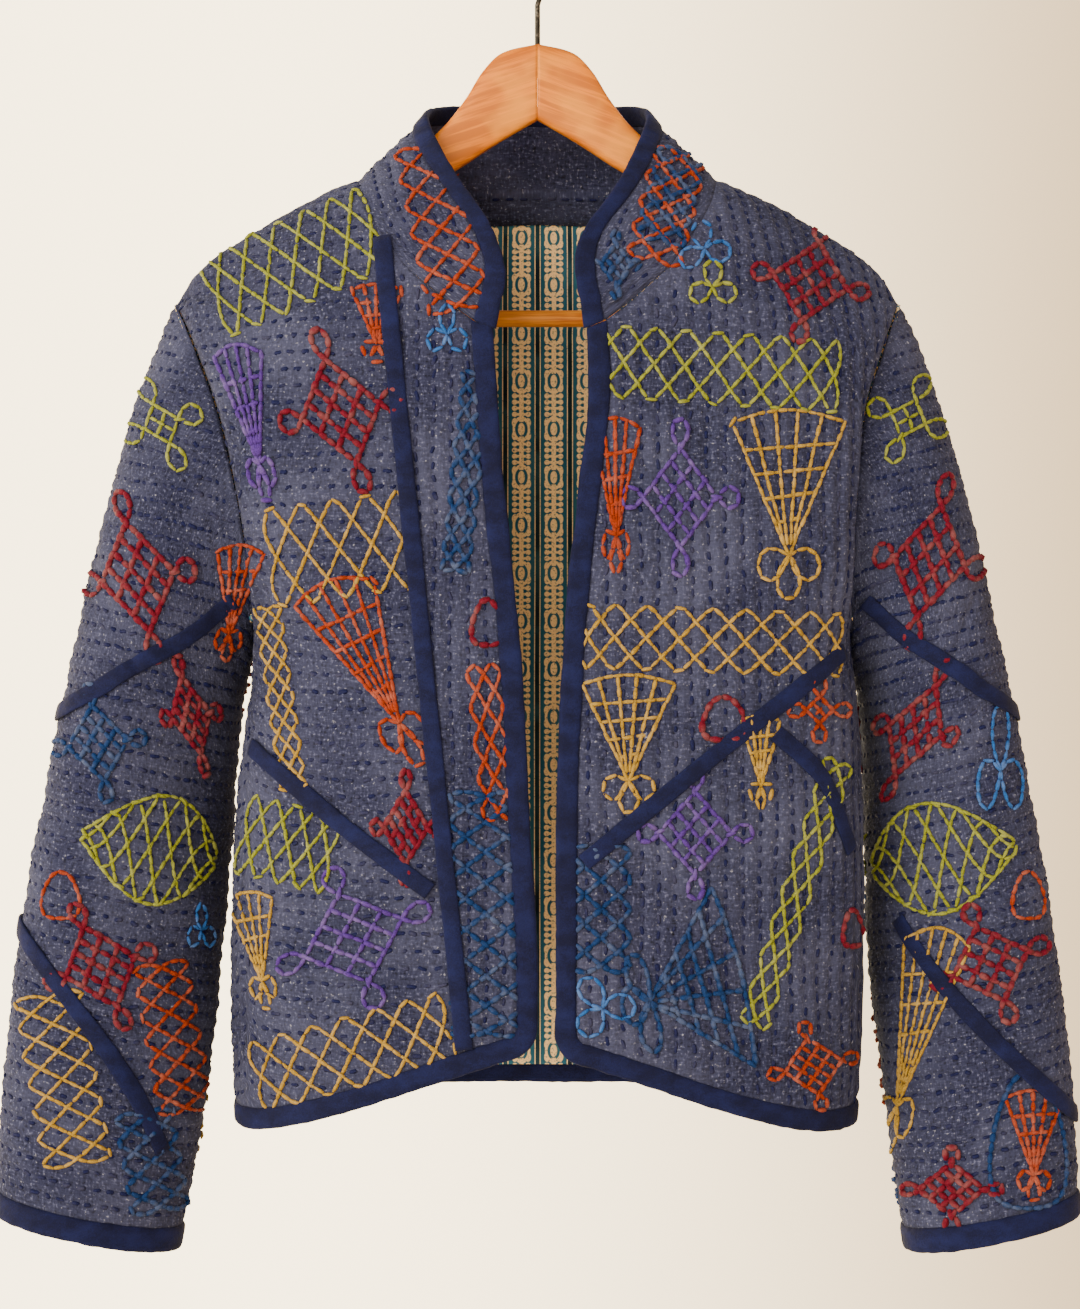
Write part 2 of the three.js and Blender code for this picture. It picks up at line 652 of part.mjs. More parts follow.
// The wearer's right front: a side piece and a centre band.
const rightOuter = outerStations(-1, 'front');
const rightInner = [...neckRight.slice(0, BAND_TOP_STATION), ...bandSeam];
const rightBottom = evenly('front', hemCurve('front', BAND_SEAM_BOTTOM_X, rightOuter[rows].x), SHOULDER_COLUMNS);
const rightTop = shoulderStations(-1, SHOULDER_COLUMNS);
const rightGrid = bodyGrid('front', patch(rightTop, rightBottom, rightInner, rightOuter));
const bandEdge = edgeStations(-1, bandRows);
const bandBottom = [
  corner(-1, 45),
  ...evenly('front', hemCurve('front', corner(-1, 90).x, BAND_SEAM_BOTTOM_X), BAND_COLUMNS - 1),
];
const bandTop = neckRight.slice(BAND_TOP_STATION).reverse();
const bandGrid = bodyGrid('front', patch(bandTop, bandBottom, bandEdge, bandSeam));

// The back: shoulder, neck and shoulder along its top.
const backRight = outerStations(-1, 'back');
const backLeft = outerStations(1, 'back');
const backNeck = evenly('back', backNeckCurve, BACK_NECK_COLUMNS);
const backTop = [
  ...shoulderStations(-1, SHOULDER_COLUMNS).reverse().slice(0, -1),
  ...backNeck,
  ...shoulderStations(1, SHOULDER_COLUMNS).slice(1),
];
const backColumns = backTop.length - 1;
const backBottom = evenly('back', hemCurve('back', backRight[rows].x, backLeft[rows].x), backColumns);
const backGrid = bodyGrid('back', patch(backTop, backBottom, backRight, backLeft));

// A side's sleeve: its armhole loop runs down the front to the underarm and up the back.
const sleeveColumn = Object.fromEntries(Object.keys(SLEEVE[0]).map((name) => [name, column(SLEEVE, 't', name)]));
const loopAngle = (i) => (Math.PI * i) / ARMHOLE_ROWS;

function armholeLoop(side) {
  const front = side < 0 ? rightOuter : leftOuter;
  const back = side < 0 ? backRight : backLeft;
  const forward = front.slice(0, ARMHOLE_ROWS + 1).map((place) => bodyPoint('front', place.x, place.h));
  const rearward = back.slice(1, ARMHOLE_ROWS).reverse().map((place) => bodyPoint('back', place.x, place.h));
  return [...forward, ...rearward];
}

function sleeveDent(t, angle) {
  return SLEEVE_FOLDS.reduce((sum, fold) => {
    const turned = angle - degToRad(fold.facing);
    const away = (t - fold.t - fold.slant * Math.sin(turned)) / fold.width;
    return sum + fold.depth * Math.max(Math.cos(turned), 0) ** 2 * Math.exp(-away * away);
  }, 0);
}

function sleeveSection(side, t, angle) {
  const outer = vector(sleeveColumn.outX(t), 0, sleeveColumn.outH(t));
  const inner = vector(sleeveColumn[`${sideName(side)}X`](t), 0, sleeveColumn.inH(t));
  const reach = outer.clone().sub(inner).length() / 2 - sleeveDent(t, angle);
  const centre = outer.clone().add(inner).divideScalar(2);
  const point = centre.addScaledVector(outer.clone().sub(inner).normalize(), reach * Math.cos(angle));
  const half = sleeveColumn.depth(t) - sleeveDent(t, angle);
  point.y = sleeveColumn.mid(t) - half * Math.sin(angle) + sleeveColumn.turn(t) * (1 - Math.cos(angle)) / 2;
  point.x *= side;
  return point;
}

function sleeveGrid(side) {
  const loop = armholeLoop(side);
  const points = Array.from({ length: SLEEVE_ROWS + 1 }, (_, j) => {
    const t = (SLEEVE_CLOTH_END * j) / SLEEVE_ROWS;
    const blend = 1 - (1 - Math.min(t / SLEEVE_CAP, 1)) ** 2;
    return loop.map((start, i) => start.clone().lerp(sleeveSection(side, t, loopAngle(i)), blend));
  });
  const centres = points.map((ring) => ring.reduce((sum, p) => sum.add(p), vector(0, 0, 0)).divideScalar(ring.length));
  const outward = (p) => p.clone().sub(centres.reduce((a, b) => (p.distanceTo(a) < p.distanceTo(b) ? a : b)));
  return withNormals(points, outward, true);
}

const sleeveGrids = { right: sleeveGrid(-1), left: sleeveGrid(1) };

// The collar: its seam follows the neckline from front end to front end.
const collarSeam = [
  ...neckRight.slice().reverse().map((place) => bodyPoint('front', place.x, place.h)),
  ...backNeck.slice(1, -1).map((place) => bodyPoint('back', place.x, place.h)),
  ...neckLeft.map((place) => bodyPoint('front', place.x, place.h)),
];
const collarLast = collarSeam.length - 1;
const collarColumn = Object.fromEntries(Object.keys(COLLAR_EDGE[0]).map((name) => [name, column(COLLAR_EDGE, 'at', name)]));

function collarTop(i) {
  const side = i > collarLast / 2 ? 1 : -1;
  const at = Math.min(i, collarLast - i);
  if (at === 0) {
    const reach = COLLAR_FRONT_WIDTH + EDGE_INSET;
    const start = collarSeam[i];
    const y = start.y;
    return vector(start.x - side * COLLAR_FRONT_END.x * reach, y, start.z + COLLAR_FRONT_END.h * reach);
  }
  return vector(side * collarColumn[sideName(side)](at), collarColumn.y(at), collarColumn.h(at));
}

const collarTops = collarSeam.map((_, i) => collarTop(i));
const collarPoints = Array.from({ length: COLLAR_ROWS + 1 }, (_, j) => collarSeam.map((seam, i) => {
  const width = collarTops[i].distanceTo(seam);
  const share = (j / COLLAR_ROWS) * (1 - EDGE_INSET / width);
  const bulge = COLLAR_BULGE * Math.sin(Math.PI * share) * clamp(width / 60, 0, 1);
  const away = vector(seam.x, seam.y, 0).normalize();
  return seam.clone().lerp(collarTops[i], share).addScaledVector(away, bulge);
}));
const collarGrid = withNormals(collarPoints, (p) => vector(p.x, p.y, 30));

// Shared seam directions: shoulders and sides lie level, armholes and neckline are mitred.
function settle(grid, outerColumn) {
  grid[0].forEach(level);
  grid.slice(ARMHOLE_ROWS + 1).forEach((line) => level(line[outerColumn]));
}

settle(leftGrid, LEFT_COLUMNS);
settle(rightGrid, SHOULDER_COLUMNS);
settle(backGrid, 0);
settle(backGrid, backColumns);

function mitreArmhole(side, front, back, outerColumn, backColumn) {
  const ring = sleeveGrids[sideName(side)][0];
  const centre = ring.reduce((sum, node) => sum.add(node.p), vector(0, 0, 0)).divideScalar(ring.length);
  ring.forEach((node) => mitre(node, centre));
  for (let j = 1; j <= ARMHOLE_ROWS; j += 1) {
    mitre(front[j][outerColumn], centre);
    mitre(back[j][backColumn], centre);
  }
  level(ring[0]);
  level(ring[ARMHOLE_ROWS]);
  front[0][outerColumn].n.copy(ring[0].n);
  back[0][backColumn].n.copy(ring[0].n);
  front[ARMHOLE_ROWS][outerColumn].n.copy(ring[ARMHOLE_ROWS].n);
  back[ARMHOLE_ROWS][backColumn].n.copy(ring[ARMHOLE_ROWS].n);
}

mitreArmhole(1, leftGrid, backGrid, LEFT_COLUMNS, backColumns);
mitreArmhole(-1, rightGrid, backGrid, SHOULDER_COLUMNS, 0);

// Nodes that meet at one point of a seam take their mean normal.
function share(nodes) {
  const mean = nodes.reduce((sum, node) => sum.add(node.n), vector(0, 0, 0)).normalize();
  nodes.forEach((node) => node.n.copy(mean));
}

const bandNeck = bandGrid[0].slice().reverse();
collarGrid[0].forEach((node, i) => {
  const rightStation = NECK_ROWS - i;
  const leftStation = i - (collarLast - NECK_ROWS);
  const meeting = [node];
  if (rightStation >= BAND_TOP_STATION) {
    meeting.push(bandNeck[rightStation - BAND_TOP_STATION]);
  }
  if (rightStation >= 0 && rightStation <= BAND_TOP_STATION) {
    meeting.push(rightGrid[rightStation][0]);
  }
  if (leftStation >= 0) {
    meeting.push(leftGrid[leftStation][0]);
  }
  if (rightStation <= 0 && leftStation <= 0) {
    meeting.push(backGrid[0][SHOULDER_COLUMNS + i - NECK_ROWS]);
  }
  share(meeting);
});
bandGrid.slice(1).forEach((line, j) => share([line[BAND_COLUMNS], rightGrid[j + 1 + BAND_TOP_STATION][0]]));

// The lining follows the back's grid, but at the underarm it hangs a little clear of the side.
const liningGrid = backGrid.map((line) => line.map(({ p, n, deep }) => ({ p: p.clone(), n: n.clone(), deep })));
[0, backColumns].forEach((k) => {
  liningGrid[ARMHOLE_ROWS][k].n.copy(liningGrid[ARMHOLE_ROWS + 1][k].n);
  liningGrid[ARMHOLE_ROWS][k].deep = 1;
  liningGrid[ARMHOLE_ROWS - 1][k].deep *= LINING_DEEPER;
  liningGrid[ARMHOLE_ROWS][k].deep *= LINING_DEEPER;
});
[leftGrid, rightGrid, bandGrid, backGrid, collarGrid].forEach((grid) => inset(grid, SEAM / 2));
[sleeveGrids.right, sleeveGrids.left].forEach((grid) => inset(grid, SEAM / 2, true));
[[sleeveGrids.right, -1], [sleeveGrids.left, 1]].forEach(([grid, side]) => {
  grid[0].slice(ARMHOLE_ROWS - 1, ARMHOLE_ROWS + 2).forEach((node) => {
    node.p.x += side * SEAM * 2;
  });
});
inset(liningGrid, SEAM * 5);

const group = new THREE.Group();

function add(name, geometry, color, roughness, metalness = 0) {
  const material = new THREE.MeshStandardMaterial({ color, roughness, metalness });
  const mesh = new THREE.Mesh(geometry, material);
  mesh.name = name;
  mesh.position.set(0, 0, -HOOK_REACH);
  group.add(mesh);
}

const addCloth = (name, geometry) => add(name, geometry, COLORS.cloth, 0.9);
const addBinding = (name, geometry) => add(name, geometry, COLORS.binding, 0.85);
const same = (count, step) => Array.from({ length: count }, () => step);
const rowSteps = [...same(rows - 1, FINE_STEPS), 2];
const outerLayer = { from: 0, to: CLOTH };

addCloth('front_left', wall(leftGrid, {
  ...outerLayer, rowSteps: same(rows, 1), columnSteps: [2, ...same(LEFT_COLUMNS - 1, FINE_STEPS)], ridges: 'down',
}));
addCloth('front_right', wall(rightGrid, {
  ...outerLayer, rowSteps, columnSteps: same(SHOULDER_COLUMNS, 1), ridges: 'across',
}));
addCloth('front_band', wall(bandGrid, {
  ...outerLayer, rowSteps: same(bandRows, 1), columnSteps: [2, 3, 3], ridges: 'down',
}));
addCloth('back', wall(backGrid, {
  ...outerLayer, rowSteps: [...same(rows - 1, BACK_STEPS), 1], columnSteps: same(backColumns, 1), ridges: 'across',
}));
Object.entries(sleeveGrids).forEach(([side, grid]) => {
  addCloth(`sleeve_${side}`, wall(grid, {
    ...outerLayer,
    rowSteps: same(SLEEVE_ROWS, SLEEVE_STEPS),
    columnSteps: same(grid[0].length, 1),
    ridges: 'across',
    closed: true,
  }));
});
addCloth('collar', wall(collarGrid, {
  ...outerLayer, rowSteps: same(COLLAR_ROWS, 2), columnSteps: same(collarLast, 1), ridges: 'across',
}));

// The printed lining inside the back, and the plain facing that lies on it at the neck.
const liningTop = CLOTH + 3 * SEAM;
const facingTop = liningTop + SKIN + SEAM;
add('back_lining', wall(liningGrid, {
  from: liningTop, to: liningTop + SKIN, rowSteps: same(rows, 1), columnSteps: same(backColumns, 1),
}), COLORS.lining, 0.9);
const facingColumns = [SHOULDER_COLUMNS, SHOULDER_COLUMNS + BACK_NECK_COLUMNS + 1];
const facingGrid = liningGrid.slice(0, 2).map((line) => line.slice(...facingColumns));
addCloth('neck_facing', wall(facingGrid, {
  from: facingTop, to: facingTop + SKIN, rowSteps: [1], columnSteps: same(BACK_NECK_COLUMNS, 1),
}));

// Bindings follow the borders of the cloth; the corner of a front has two more stations.
const cornerNode = (side, degrees) => {
  const { x, h } = corner(side, degrees);
  return { p: bodyPoint('front', x, h), n: bodyNormal('front', x, h) };
};

function sideEnd(station) {
  station.across.set(0, 0, -1);
  level(station);
}

function frontBinding(side, edge, bottom, collarIndex) {
  const [angle, ...hem] = bottom;
  const nodes = [...edge.slice(0, -1), cornerNode(side, 22.5), angle, cornerNode(side, 67.5), ...hem];
  const stations = frames(nodes, side);
  stations[0].across.copy(collarTops[collarIndex]).sub(collarSeam[collarIndex]).normalize();
  stations[0].p.z -= SEAM * 2;
  const turn = stations[edge.length];
  turn.p.addScaledVector(turn.across, SEAM);
  sideEnd(stations[stations.length - 1]);
  return sweep(stations, bindingSection(BINDING_WIDTH));
}

const bandHem = bandGrid[bandRows].slice(0, -1);
addBinding('front_binding_right', frontBinding(-1, bandGrid.map((line) => line[0]), [...bandHem, ...rightGrid[rows]], 0));
const leftEdge = leftGrid.slice(NECK_ROWS).map((line) => line[0]);
addBinding('front_binding_left', frontBinding(1, leftEdge, leftGrid[rows], collarLast));

const backHemStations = frames(backGrid[rows], 1);
backHemStations.forEach((station) => station.across.multiplyScalar(-Math.sign(station.across.z)));
sideEnd(backHemStations[0]);
sideEnd(backHemStations[backColumns]);
addBinding('back_hem_binding', sweep(backHemStations, bindingSection(BINDING_WIDTH)));

const collarStations = collarGrid[COLLAR_ROWS].map((node, i) => ({
  p: node.p,
  n: node.n,
  across: collarTops[i].clone().sub(collarSeam[i]).normalize(),
}));
addBinding('collar_binding', sweep(collarStations, bindingSection(BINDING_WIDTH)));

Object.entries(sleeveGrids).forEach(([side, grid]) => {
  const stations = grid[SLEEVE_ROWS].map((node, i) => ({
    p: node.p,
    n: node.n,
    across: node.p.clone().sub(grid[SLEEVE_ROWS - 1][i].p).normalize(),
  }));
  addBinding(`cuff_binding_${side}`, sweep(stations, bindingSection(CUFF_WIDTH), true));
});

// Navy strips lie on the panels, just clear of the quilting.
function bodyStrip(points, count) {
  const last = points.length - 1;
  const table = points.map((point, i) => ({ ...point, at: i / last }));
  const x = column(table, 'at', 'x');
  const h = column(table, 'at', 'h');
  const places = evenly('front', (t) => ({ x: x(t), h: h(t) }), count);
  const nodes = places.map((place) => ({
    p: bodyPoint('front', place.x, place.h),
    n: bodyNormal('front', place.x, place.h),
  }));
  return sweep(frames(nodes, 1), stripSection);
}

const bandStripEnds = [bandSeam[0], bandSeamBottom].map(({ x, h }, i) => ({ x, h: h + (i ? 1 : -1) * SEAM * 8 }));
addBinding('band_strip_right', bodyStrip(bandStripEnds, 2 * bandRows));
addBinding('diagonal_strip_right', bodyStrip(DIAGONAL_STRIP_RIGHT, 12));
addBinding('diagonal_strip_left', bodyStrip(DIAGONAL_STRIP_LEFT, 18));
addBinding('side_strip_left', bodyStrip(SIDE_STRIP_LEFT, 9));

// A sleeve strip runs from the front of the inner side over the outer side to the back.
SLEEVE_STRIPS.forEach(({ name, side, outer, front, back }) => {
  const grid = sleeveGrids[sideName(side)];
  const nodes = Array.from({ length: 2 * STRIP_END_STATION * STRIP_SUBSTEPS + 1 }, (_, m) => {
    const i = m / STRIP_SUBSTEPS - STRIP_END_STATION;
    const inner = i > 0 ? front : back;
    const reach = (i / STRIP_END_STATION) ** 2;
    const at = (lerp(outer, inner, reach) / SLEEVE_CLOTH_END) * SLEEVE_ROWS;
    const ring = Math.min(Math.floor(at), SLEEVE_ROWS - 1);
    const wrap = grid[0].length;
    const k = (Math.floor(i) + wrap) % wrap;
    const next = (k + 1) % wrap;
    const node = { p: vector(0, 0, 0), n: vector(0, 0, 0) };
    [[ring, k], [ring + 1, k], [ring, next], [ring + 1, next]].forEach(([j, c], which) => {
      const down = which % 2 ? at - ring : 1 - at + ring;
      const round = which > 1 ? i - Math.floor(i) : 1 - i + Math.floor(i);
      node.p.addScaledVector(grid[j][c].p, down * round);
      node.n.addScaledVector(grid[j][c].n, down * round);
    });
    node.n.normalize();
    return node;
  });
  addBinding(name, sweep(frames(nodes, 1), stripSection));
});

// The hanger: two arms that meet in a mitre, a bar in their lower ends and a wire hook in the mitre.
function asSolid(geometry) {
  const bare = geometry.clone();
  bare.deleteAttribute('normal');
  bare.deleteAttribute('uv');
  const merged = mergeVertices(bare);
  const vertProperties = new Float32Array(merged.attributes.position.array);
  const triVerts = new Uint32Array(merged.index.array);
  return new wasm.Manifold(new wasm.Mesh({ numProp: 3, vertProperties, triVerts }));
}

function asGeometry(body) {
  const mesh = body.getMesh();
  const geometry = new THREE.BufferGeometry();
  geometry.setAttribute('position', new THREE.BufferAttribute(new Float32Array(mesh.vertProperties), 3));
  geometry.setIndex(new THREE.BufferAttribute(new Uint32Array(mesh.triVerts), 1));
  geometry.computeVertexNormals();
  return geometry;
}

function hangerArm(side) {
  const outline = ({ x, drop, top = shoulderHeight(x) - drop, bottom, half }) => [
    [-half / 3, top],
    [-half * 0.86, top - half * 0.4],
    [-half, top - half],
    [-half, bottom + half * 0.6],
    [-half / 2, bottom],
    [half / 2, bottom],
    [half, bottom + half * 0.6],
    [half, top - half],
    [half * 0.86, top - half * 0.4],
    [half / 3, top],
  ];
  const count = outline(ARM_SLICES[0]).length;
  const vertices = ARM_SLICES.flatMap((slice) => outline(slice).map(([y, z]) => vector(side * slice.x, y, z)));
  const triangles = [];
  for (let i = 0; i < ARM_SLICES.length - 1; i += 1) {
    for (let m = 0; m < count; m += 1) {
      const after = (m + 1) % count;
      triangles.push([i * count + m, i * count + after, (i + 1) * count + after]);
      triangles.push([i * count + m, (i + 1) * count + after, (i + 1) * count + m]);
    }
  }
  const end = (ARM_SLICES.length - 1) * count;
  for (let m = 1; m < count - 1; m += 1) {
    triangles.push([0, m + 1, m]);
    triangles.push([end, end + m, end + m + 1]);
  }
  const barBore = new THREE.CylinderGeometry(BAR_RADIUS + SEAM, BAR_RADIUS + SEAM, 30, BAR_SIDES);
  barBore.rotateZ(Math.PI / 2);
  barBore.translate(side * (BAR_HALF_LENGTH + SEAM - 15), 0, BAR_HEIGHT);
  const wireBore = new THREE.CylinderGeometry(WIRE_RADIUS + SEAM, WIRE_RADIUS + SEAM, 2 * WIRE_DEPTH + 1, 10);
  wireBore.rotateX(Math.PI / 2);
  const blank = asSolid(solid(vertices, triangles));
  return asGeometry(blank.subtract(asSolid(barBore)).subtract(asSolid(wireBore)));
}

add('hanger_arm_right', hangerArm(-1), COLORS.wood, 0.4);
add('hanger_arm_left', hangerArm(1), COLORS.wood, 0.4);

const bar = new THREE.CylinderGeometry(BAR_RADIUS, BAR_RADIUS, 2 * BAR_HALF_LENGTH, BAR_SIDES);
bar.rotateZ(Math.PI / 2);
bar.translate(0, 0, BAR_HEIGHT);
add('hanger_bar', bar, COLORS.wood, 0.4);

const curl = Array.from({ length: HOOK_STEPS + 1 }, (_, i) => {
  const angle = degToRad(lerp(HOOK_START, HOOK_END, i / HOOK_STEPS));
  return { x: HOOK_RADIUS * Math.cos(angle), h: HOOK_CENTRE + HOOK_RADIUS * Math.sin(angle) };
});
const hookNodes = [...HOOK_PATH, ...curl].map(({ x, h }) => ({ p: vector(x, 0, h), n: vector(0, -1, 0) }));
const wireSection = Array.from({ length: 8 }, (_, i) => [
  WIRE_RADIUS * Math.cos((Math.PI * i) / 4),
  WIRE_RADIUS * Math.sin((Math.PI * i) / 4),
]);
add('hanger_hook', sweep(frames(hookNodes, 1), wireSection), COLORS.wire, 0.4, 0.8);

export default group;
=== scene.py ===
"""A quilted, embroidered open-front jacket, filled out on a wooden hanger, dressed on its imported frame."""

import logging
import math
from dataclasses import dataclass
from enum import Enum
from typing import Callable, Sequence

import bmesh
import bpy
import numpy as np
from mathutils import Matrix, Vector
from mathutils.bvhtree import BVHTree

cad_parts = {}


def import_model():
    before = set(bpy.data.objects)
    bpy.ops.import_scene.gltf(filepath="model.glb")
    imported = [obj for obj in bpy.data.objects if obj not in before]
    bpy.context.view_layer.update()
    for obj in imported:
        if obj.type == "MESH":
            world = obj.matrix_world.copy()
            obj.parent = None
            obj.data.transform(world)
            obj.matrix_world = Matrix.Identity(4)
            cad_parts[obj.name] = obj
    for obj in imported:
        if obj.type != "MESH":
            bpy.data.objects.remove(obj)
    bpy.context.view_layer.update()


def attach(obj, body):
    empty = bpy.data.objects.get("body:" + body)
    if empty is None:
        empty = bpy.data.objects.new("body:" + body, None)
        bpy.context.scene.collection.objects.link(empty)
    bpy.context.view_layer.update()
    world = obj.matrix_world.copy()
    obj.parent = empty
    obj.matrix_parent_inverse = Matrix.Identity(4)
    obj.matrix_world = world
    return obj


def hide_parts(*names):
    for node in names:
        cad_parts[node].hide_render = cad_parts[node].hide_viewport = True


Array = np.ndarray
Curve = Callable[[Array], Array]
Colour = tuple[float, float, float, float]
Socket, Material, Mesh, Object = bpy.types.NodeSocket, bpy.types.Material, bpy.types.Mesh, bpy.types.Object
Triple = tuple[float, float, float]

LOG = logging.getLogger("jacket")
MM = 0.001
WELD = 0.002
HOOK_REACH = 79.0
UV_NAME = "cloth"

# The jacket's form, in millimetres. Heights run up from the top of the hanger's wood.
NECK_X, SHOULDER_X = 118.0, 238.0
ARMHOLE_TOP, UNDERARM = -171.0, -385.0
CHEST_HEIGHT, CORNER_HEIGHT, SIDE_SEAM_FOOT = -330.0, -650.0, -707.0
SIDE_SEAM_Y = -6.0
EDGE_INSET, CLOTH_CORNER = 12.8, 9.2
SHOULDER = (
    (0, -57), (60, -69), (118, -90), (150, -104), (182, -122), (209, -138), (227, -153.5), (238, -171),
)
BODY = (
    (-171, 238, 238, 2.2, 2.5), (-200, 224, 226, 2.2, 2.6), (-247, 206, 211, 2.3, 2.8),
    (-300, 194, 206, 2.4, 2.9), (-350, 187, 204, 2.5, 3), (-385, 186, 204, 2.5, 3),
    (-430, 188, 208, 2.6, 3), (-490, 196, 212, 2.6, 2.9), (-560, 200, 213, 2.6, 2.8),
    (-640, 200, 212, 2.6, 2.7), (-707, 197, 208, 2.6, 2.7),
)
DEPTH = ((-80, 84, 76), (-260, 88, 80), (-450, 93, 85), (-707, 98, 90))
FRONT_EDGE = (
    (-192, -28, 30.5), (-238, -25, 32), (-303, -20, 25), (-368, -13, 18),
    (-431, -8, 14), (-497, -5, 11.5), (-584, 0, 11), (-651, 1, 10.8),
)
HEM = ((0, -650, -698.5), (66, -671.6, -699), (125, -692, -701.5), (178, -706, -705), (212, -707, -707))
NECK_FRONT = (
    (0, 118, -90), (0.14, 112, -111), (0.28, 103, -128), (0.43, 92, -145),
    (0.56, 82, -158), (0.7, 69, -170), (0.85, 55, -182), (1, 41, -192),
)
NECK_BACK = ((0, -87), (60, -89), (100, -91), (118, -90))
COLLAR_EDGE = (
    (0.7, 23.5, 26.7, -91, -185.5), (1.5, 19.1, 23, -88, -170), (2.3, 19.2, 22, -84, -157),
    (3, 23, 24, -78, -143), (3.6, 29, 31, -72, -128.5), (4.2, 38.7, 42, -62, -112.5),
    (5.1, 53, 55, -44, -89), (5.7, 65, 65, -24, -65), (6.2, 71, 71, -5, -47), (7, 66, 66, 24, -36),
    (8, 42, 42, 50, -30), (9, 0, 0, 60, -29),
)
COLLAR_FRONT_END = (0.93, -0.37)
COLLAR_FRONT_WIDTH, COLLAR_BULGE = 3.0, 2.5
SLEEVE = (
    (0, 238, -171, 186, 204, -385, 45, -3, 0), (0.12, 262, -226, 191, 209, -412, 56, 0, 14),
    (0.25, 283, -300, 197, 215, -439, 60, 0, 26), (0.4, 302, -385, 202, 218, -481, 58, 0, 32),
    (0.55, 320, -470, 206, 220, -542, 55, -2, 32), (0.7, 336, -560, 212, 222, -615, 51, -4, 26),
    (0.85, 348, -660, 221, 231, -700, 46, -8, 16), (1, 355, -770, 236, 242, -793, 42, -12, 8),
)
SLEEVE_CAP = 0.3
CUFF_WIDTH, BINDING_WIDTH, STRIP_WIDTH = 15.0, 12.5, 11.5
SLEEVE_LENGTH, CUFF_GAP = 670.0, 0.3
SLEEVE_END = 1 - (CUFF_WIDTH + CUFF_GAP) / SLEEVE_LENGTH
BAND_SEAM_BOTTOM_X = -45.5
# Stations along the seams, which neighbouring panels share.
ARMHOLE_ROWS, SIDE_ROWS, NECK_ROWS, BAND_TOP, SLEEVE_ROWS = 8, 12, 6, 3, 14
LEFT_COLUMNS, SHOULDER_COLUMNS = 9, 4
BORDER_STEPS = 4
# Steps between stations along the front edges and on the lining. The facing covers one station's rows.
EDGE_STEPS, LINING_STEPS = 8, 4

# Soft folds in the body: x, top, bottom, lean, width and depth. Then slanting creases laid over them:
# x, height, direction in degrees, half length, half width and depth (a ridge is below zero).
FOLDS = {
    -1: ((-128, -300, -700, 0.04, 20, 2.6), (132, -480, -705, -0.03, 22, 2.4)),
    1: ((-96, -190, -700, 0.03, 26, 4.5), (8, -330, -700, -0.02, 24, 3.6), (104, -220, -700, -0.04, 28, 4.2)),
}
CREASES = {
    -1: (
        (-168, -352, 62, 42, 6, 1.9), (-150, -318, 55, 50, 8, -1.5), (-178, -420, 28, 34, 7, 1.6),
        (-92, -250, 74, 60, 9, 1.4), (-70, -610, 82, 55, 8, 1.5), (-158, -600, 78, 62, 9, 1.8),
        (-118, -160, 24, 40, 9, 1.2), (170, -340, -58, 46, 7, 2.1), (150, -300, -48, 54, 9, -1.6),
        (182, -402, -24, 36, 7, 1.7), (96, -230, -70, 66, 9, 1.4), (60, -560, -84, 60, 9, 1.6),
        (176, -590, -76, 64, 10, 1.9), (118, -160, -22, 44, 9, 1.3), (104, -640, 76, 40, 8, -1.2),
    ),
    1: (
        (-170, -345, 60, 48, 7, 2), (168, -352, -62, 45, 7, 1.9), (-140, -235, 44, 60, 10, 1.5),
        (136, -228, -40, 56, 10, 1.6), (-40, -175, 12, 52, 9, 1.4), (56, -190, -16, 48, 8, 1.3),
        (-150, -560, 80, 70, 10, 1.9), (58, -520, -82, 75, 10, 1.7), (158, -600, -76, 66, 9, 1.8),
        (-52, -640, 78, 48, 9, 1.5), (-16, -420, 86, 60, 9, -1.4),
    ),
}
# Dents and creases round the sleeves: t, slant, the side they face in degrees, width in t and depth.
DENTS = (
    (0.2, 0.05, 150, 0.035, 3), (0.47, -0.05, 120, 0.035, 3.2), (0.62, 0.04, 60, 0.04, 2.4),
    (0.4, 0.05, 250, 0.04, 3),
)
SLEEVE_CREASES = (
    (0.13, 0.06, 120, 0.014, 1.9), (0.3, -0.07, 95, 0.016, 1.6), (0.36, 0.06, 70, 0.012, 1.7),
    (0.43, -0.05, 60, 0.014, 1.8), (0.55, 0.06, 100, 0.013, 1.5), (0.7, -0.04, 130, 0.016, 1.5),
    (0.8, 0.05, 75, 0.014, 1.4), (0.9, -0.05, 110, 0.016, 1.2), (0.16, -0.05, 240, 0.016, 1.8),
    (0.33, 0.06, 285, 0.014, 1.7), (0.5, -0.06, 260, 0.015, 1.7), (0.6, 0.05, 230, 0.014, 1.5),
    (0.75, -0.04, 290, 0.016, 1.5), (0.86, 0.05, 250, 0.014, 1.3), (0.25, 0.03, 20, 0.016, 1.2),
    (0.66, -0.03, 340, 0.016, 1.2),
)

# The quilting: the spacing of rows and of stitches, a stitch's half sizes, how far rows wander and keep from
# edges, the width of a stitch's dip, and two numbers that scatter the first stitch of each row.
STITCH_ROW, STITCH_PITCH = 10.8, 9.5
STITCH_HALF = (1.6, 0.85, 3.0)
ROW_WANDER, ROW_MARGIN, DIP_WIDTH = 0.08, 0.35, 0.24
SCATTER, SCATTER_SCALE = 12.9898, 43758.5453
# How deep the lining, the facing and its stitches lie inside the back, their cloth's thickness, and how far
# the facing's top row moves to meet the seam.
LINING_DEPTH, FACING_DEPTH, FACING_STITCH_DEPTH, INNER_THICKNESS = 3.3, 4.6, 5.6, 0.8
FACING_RISE = (0, 0.4, 4.6)
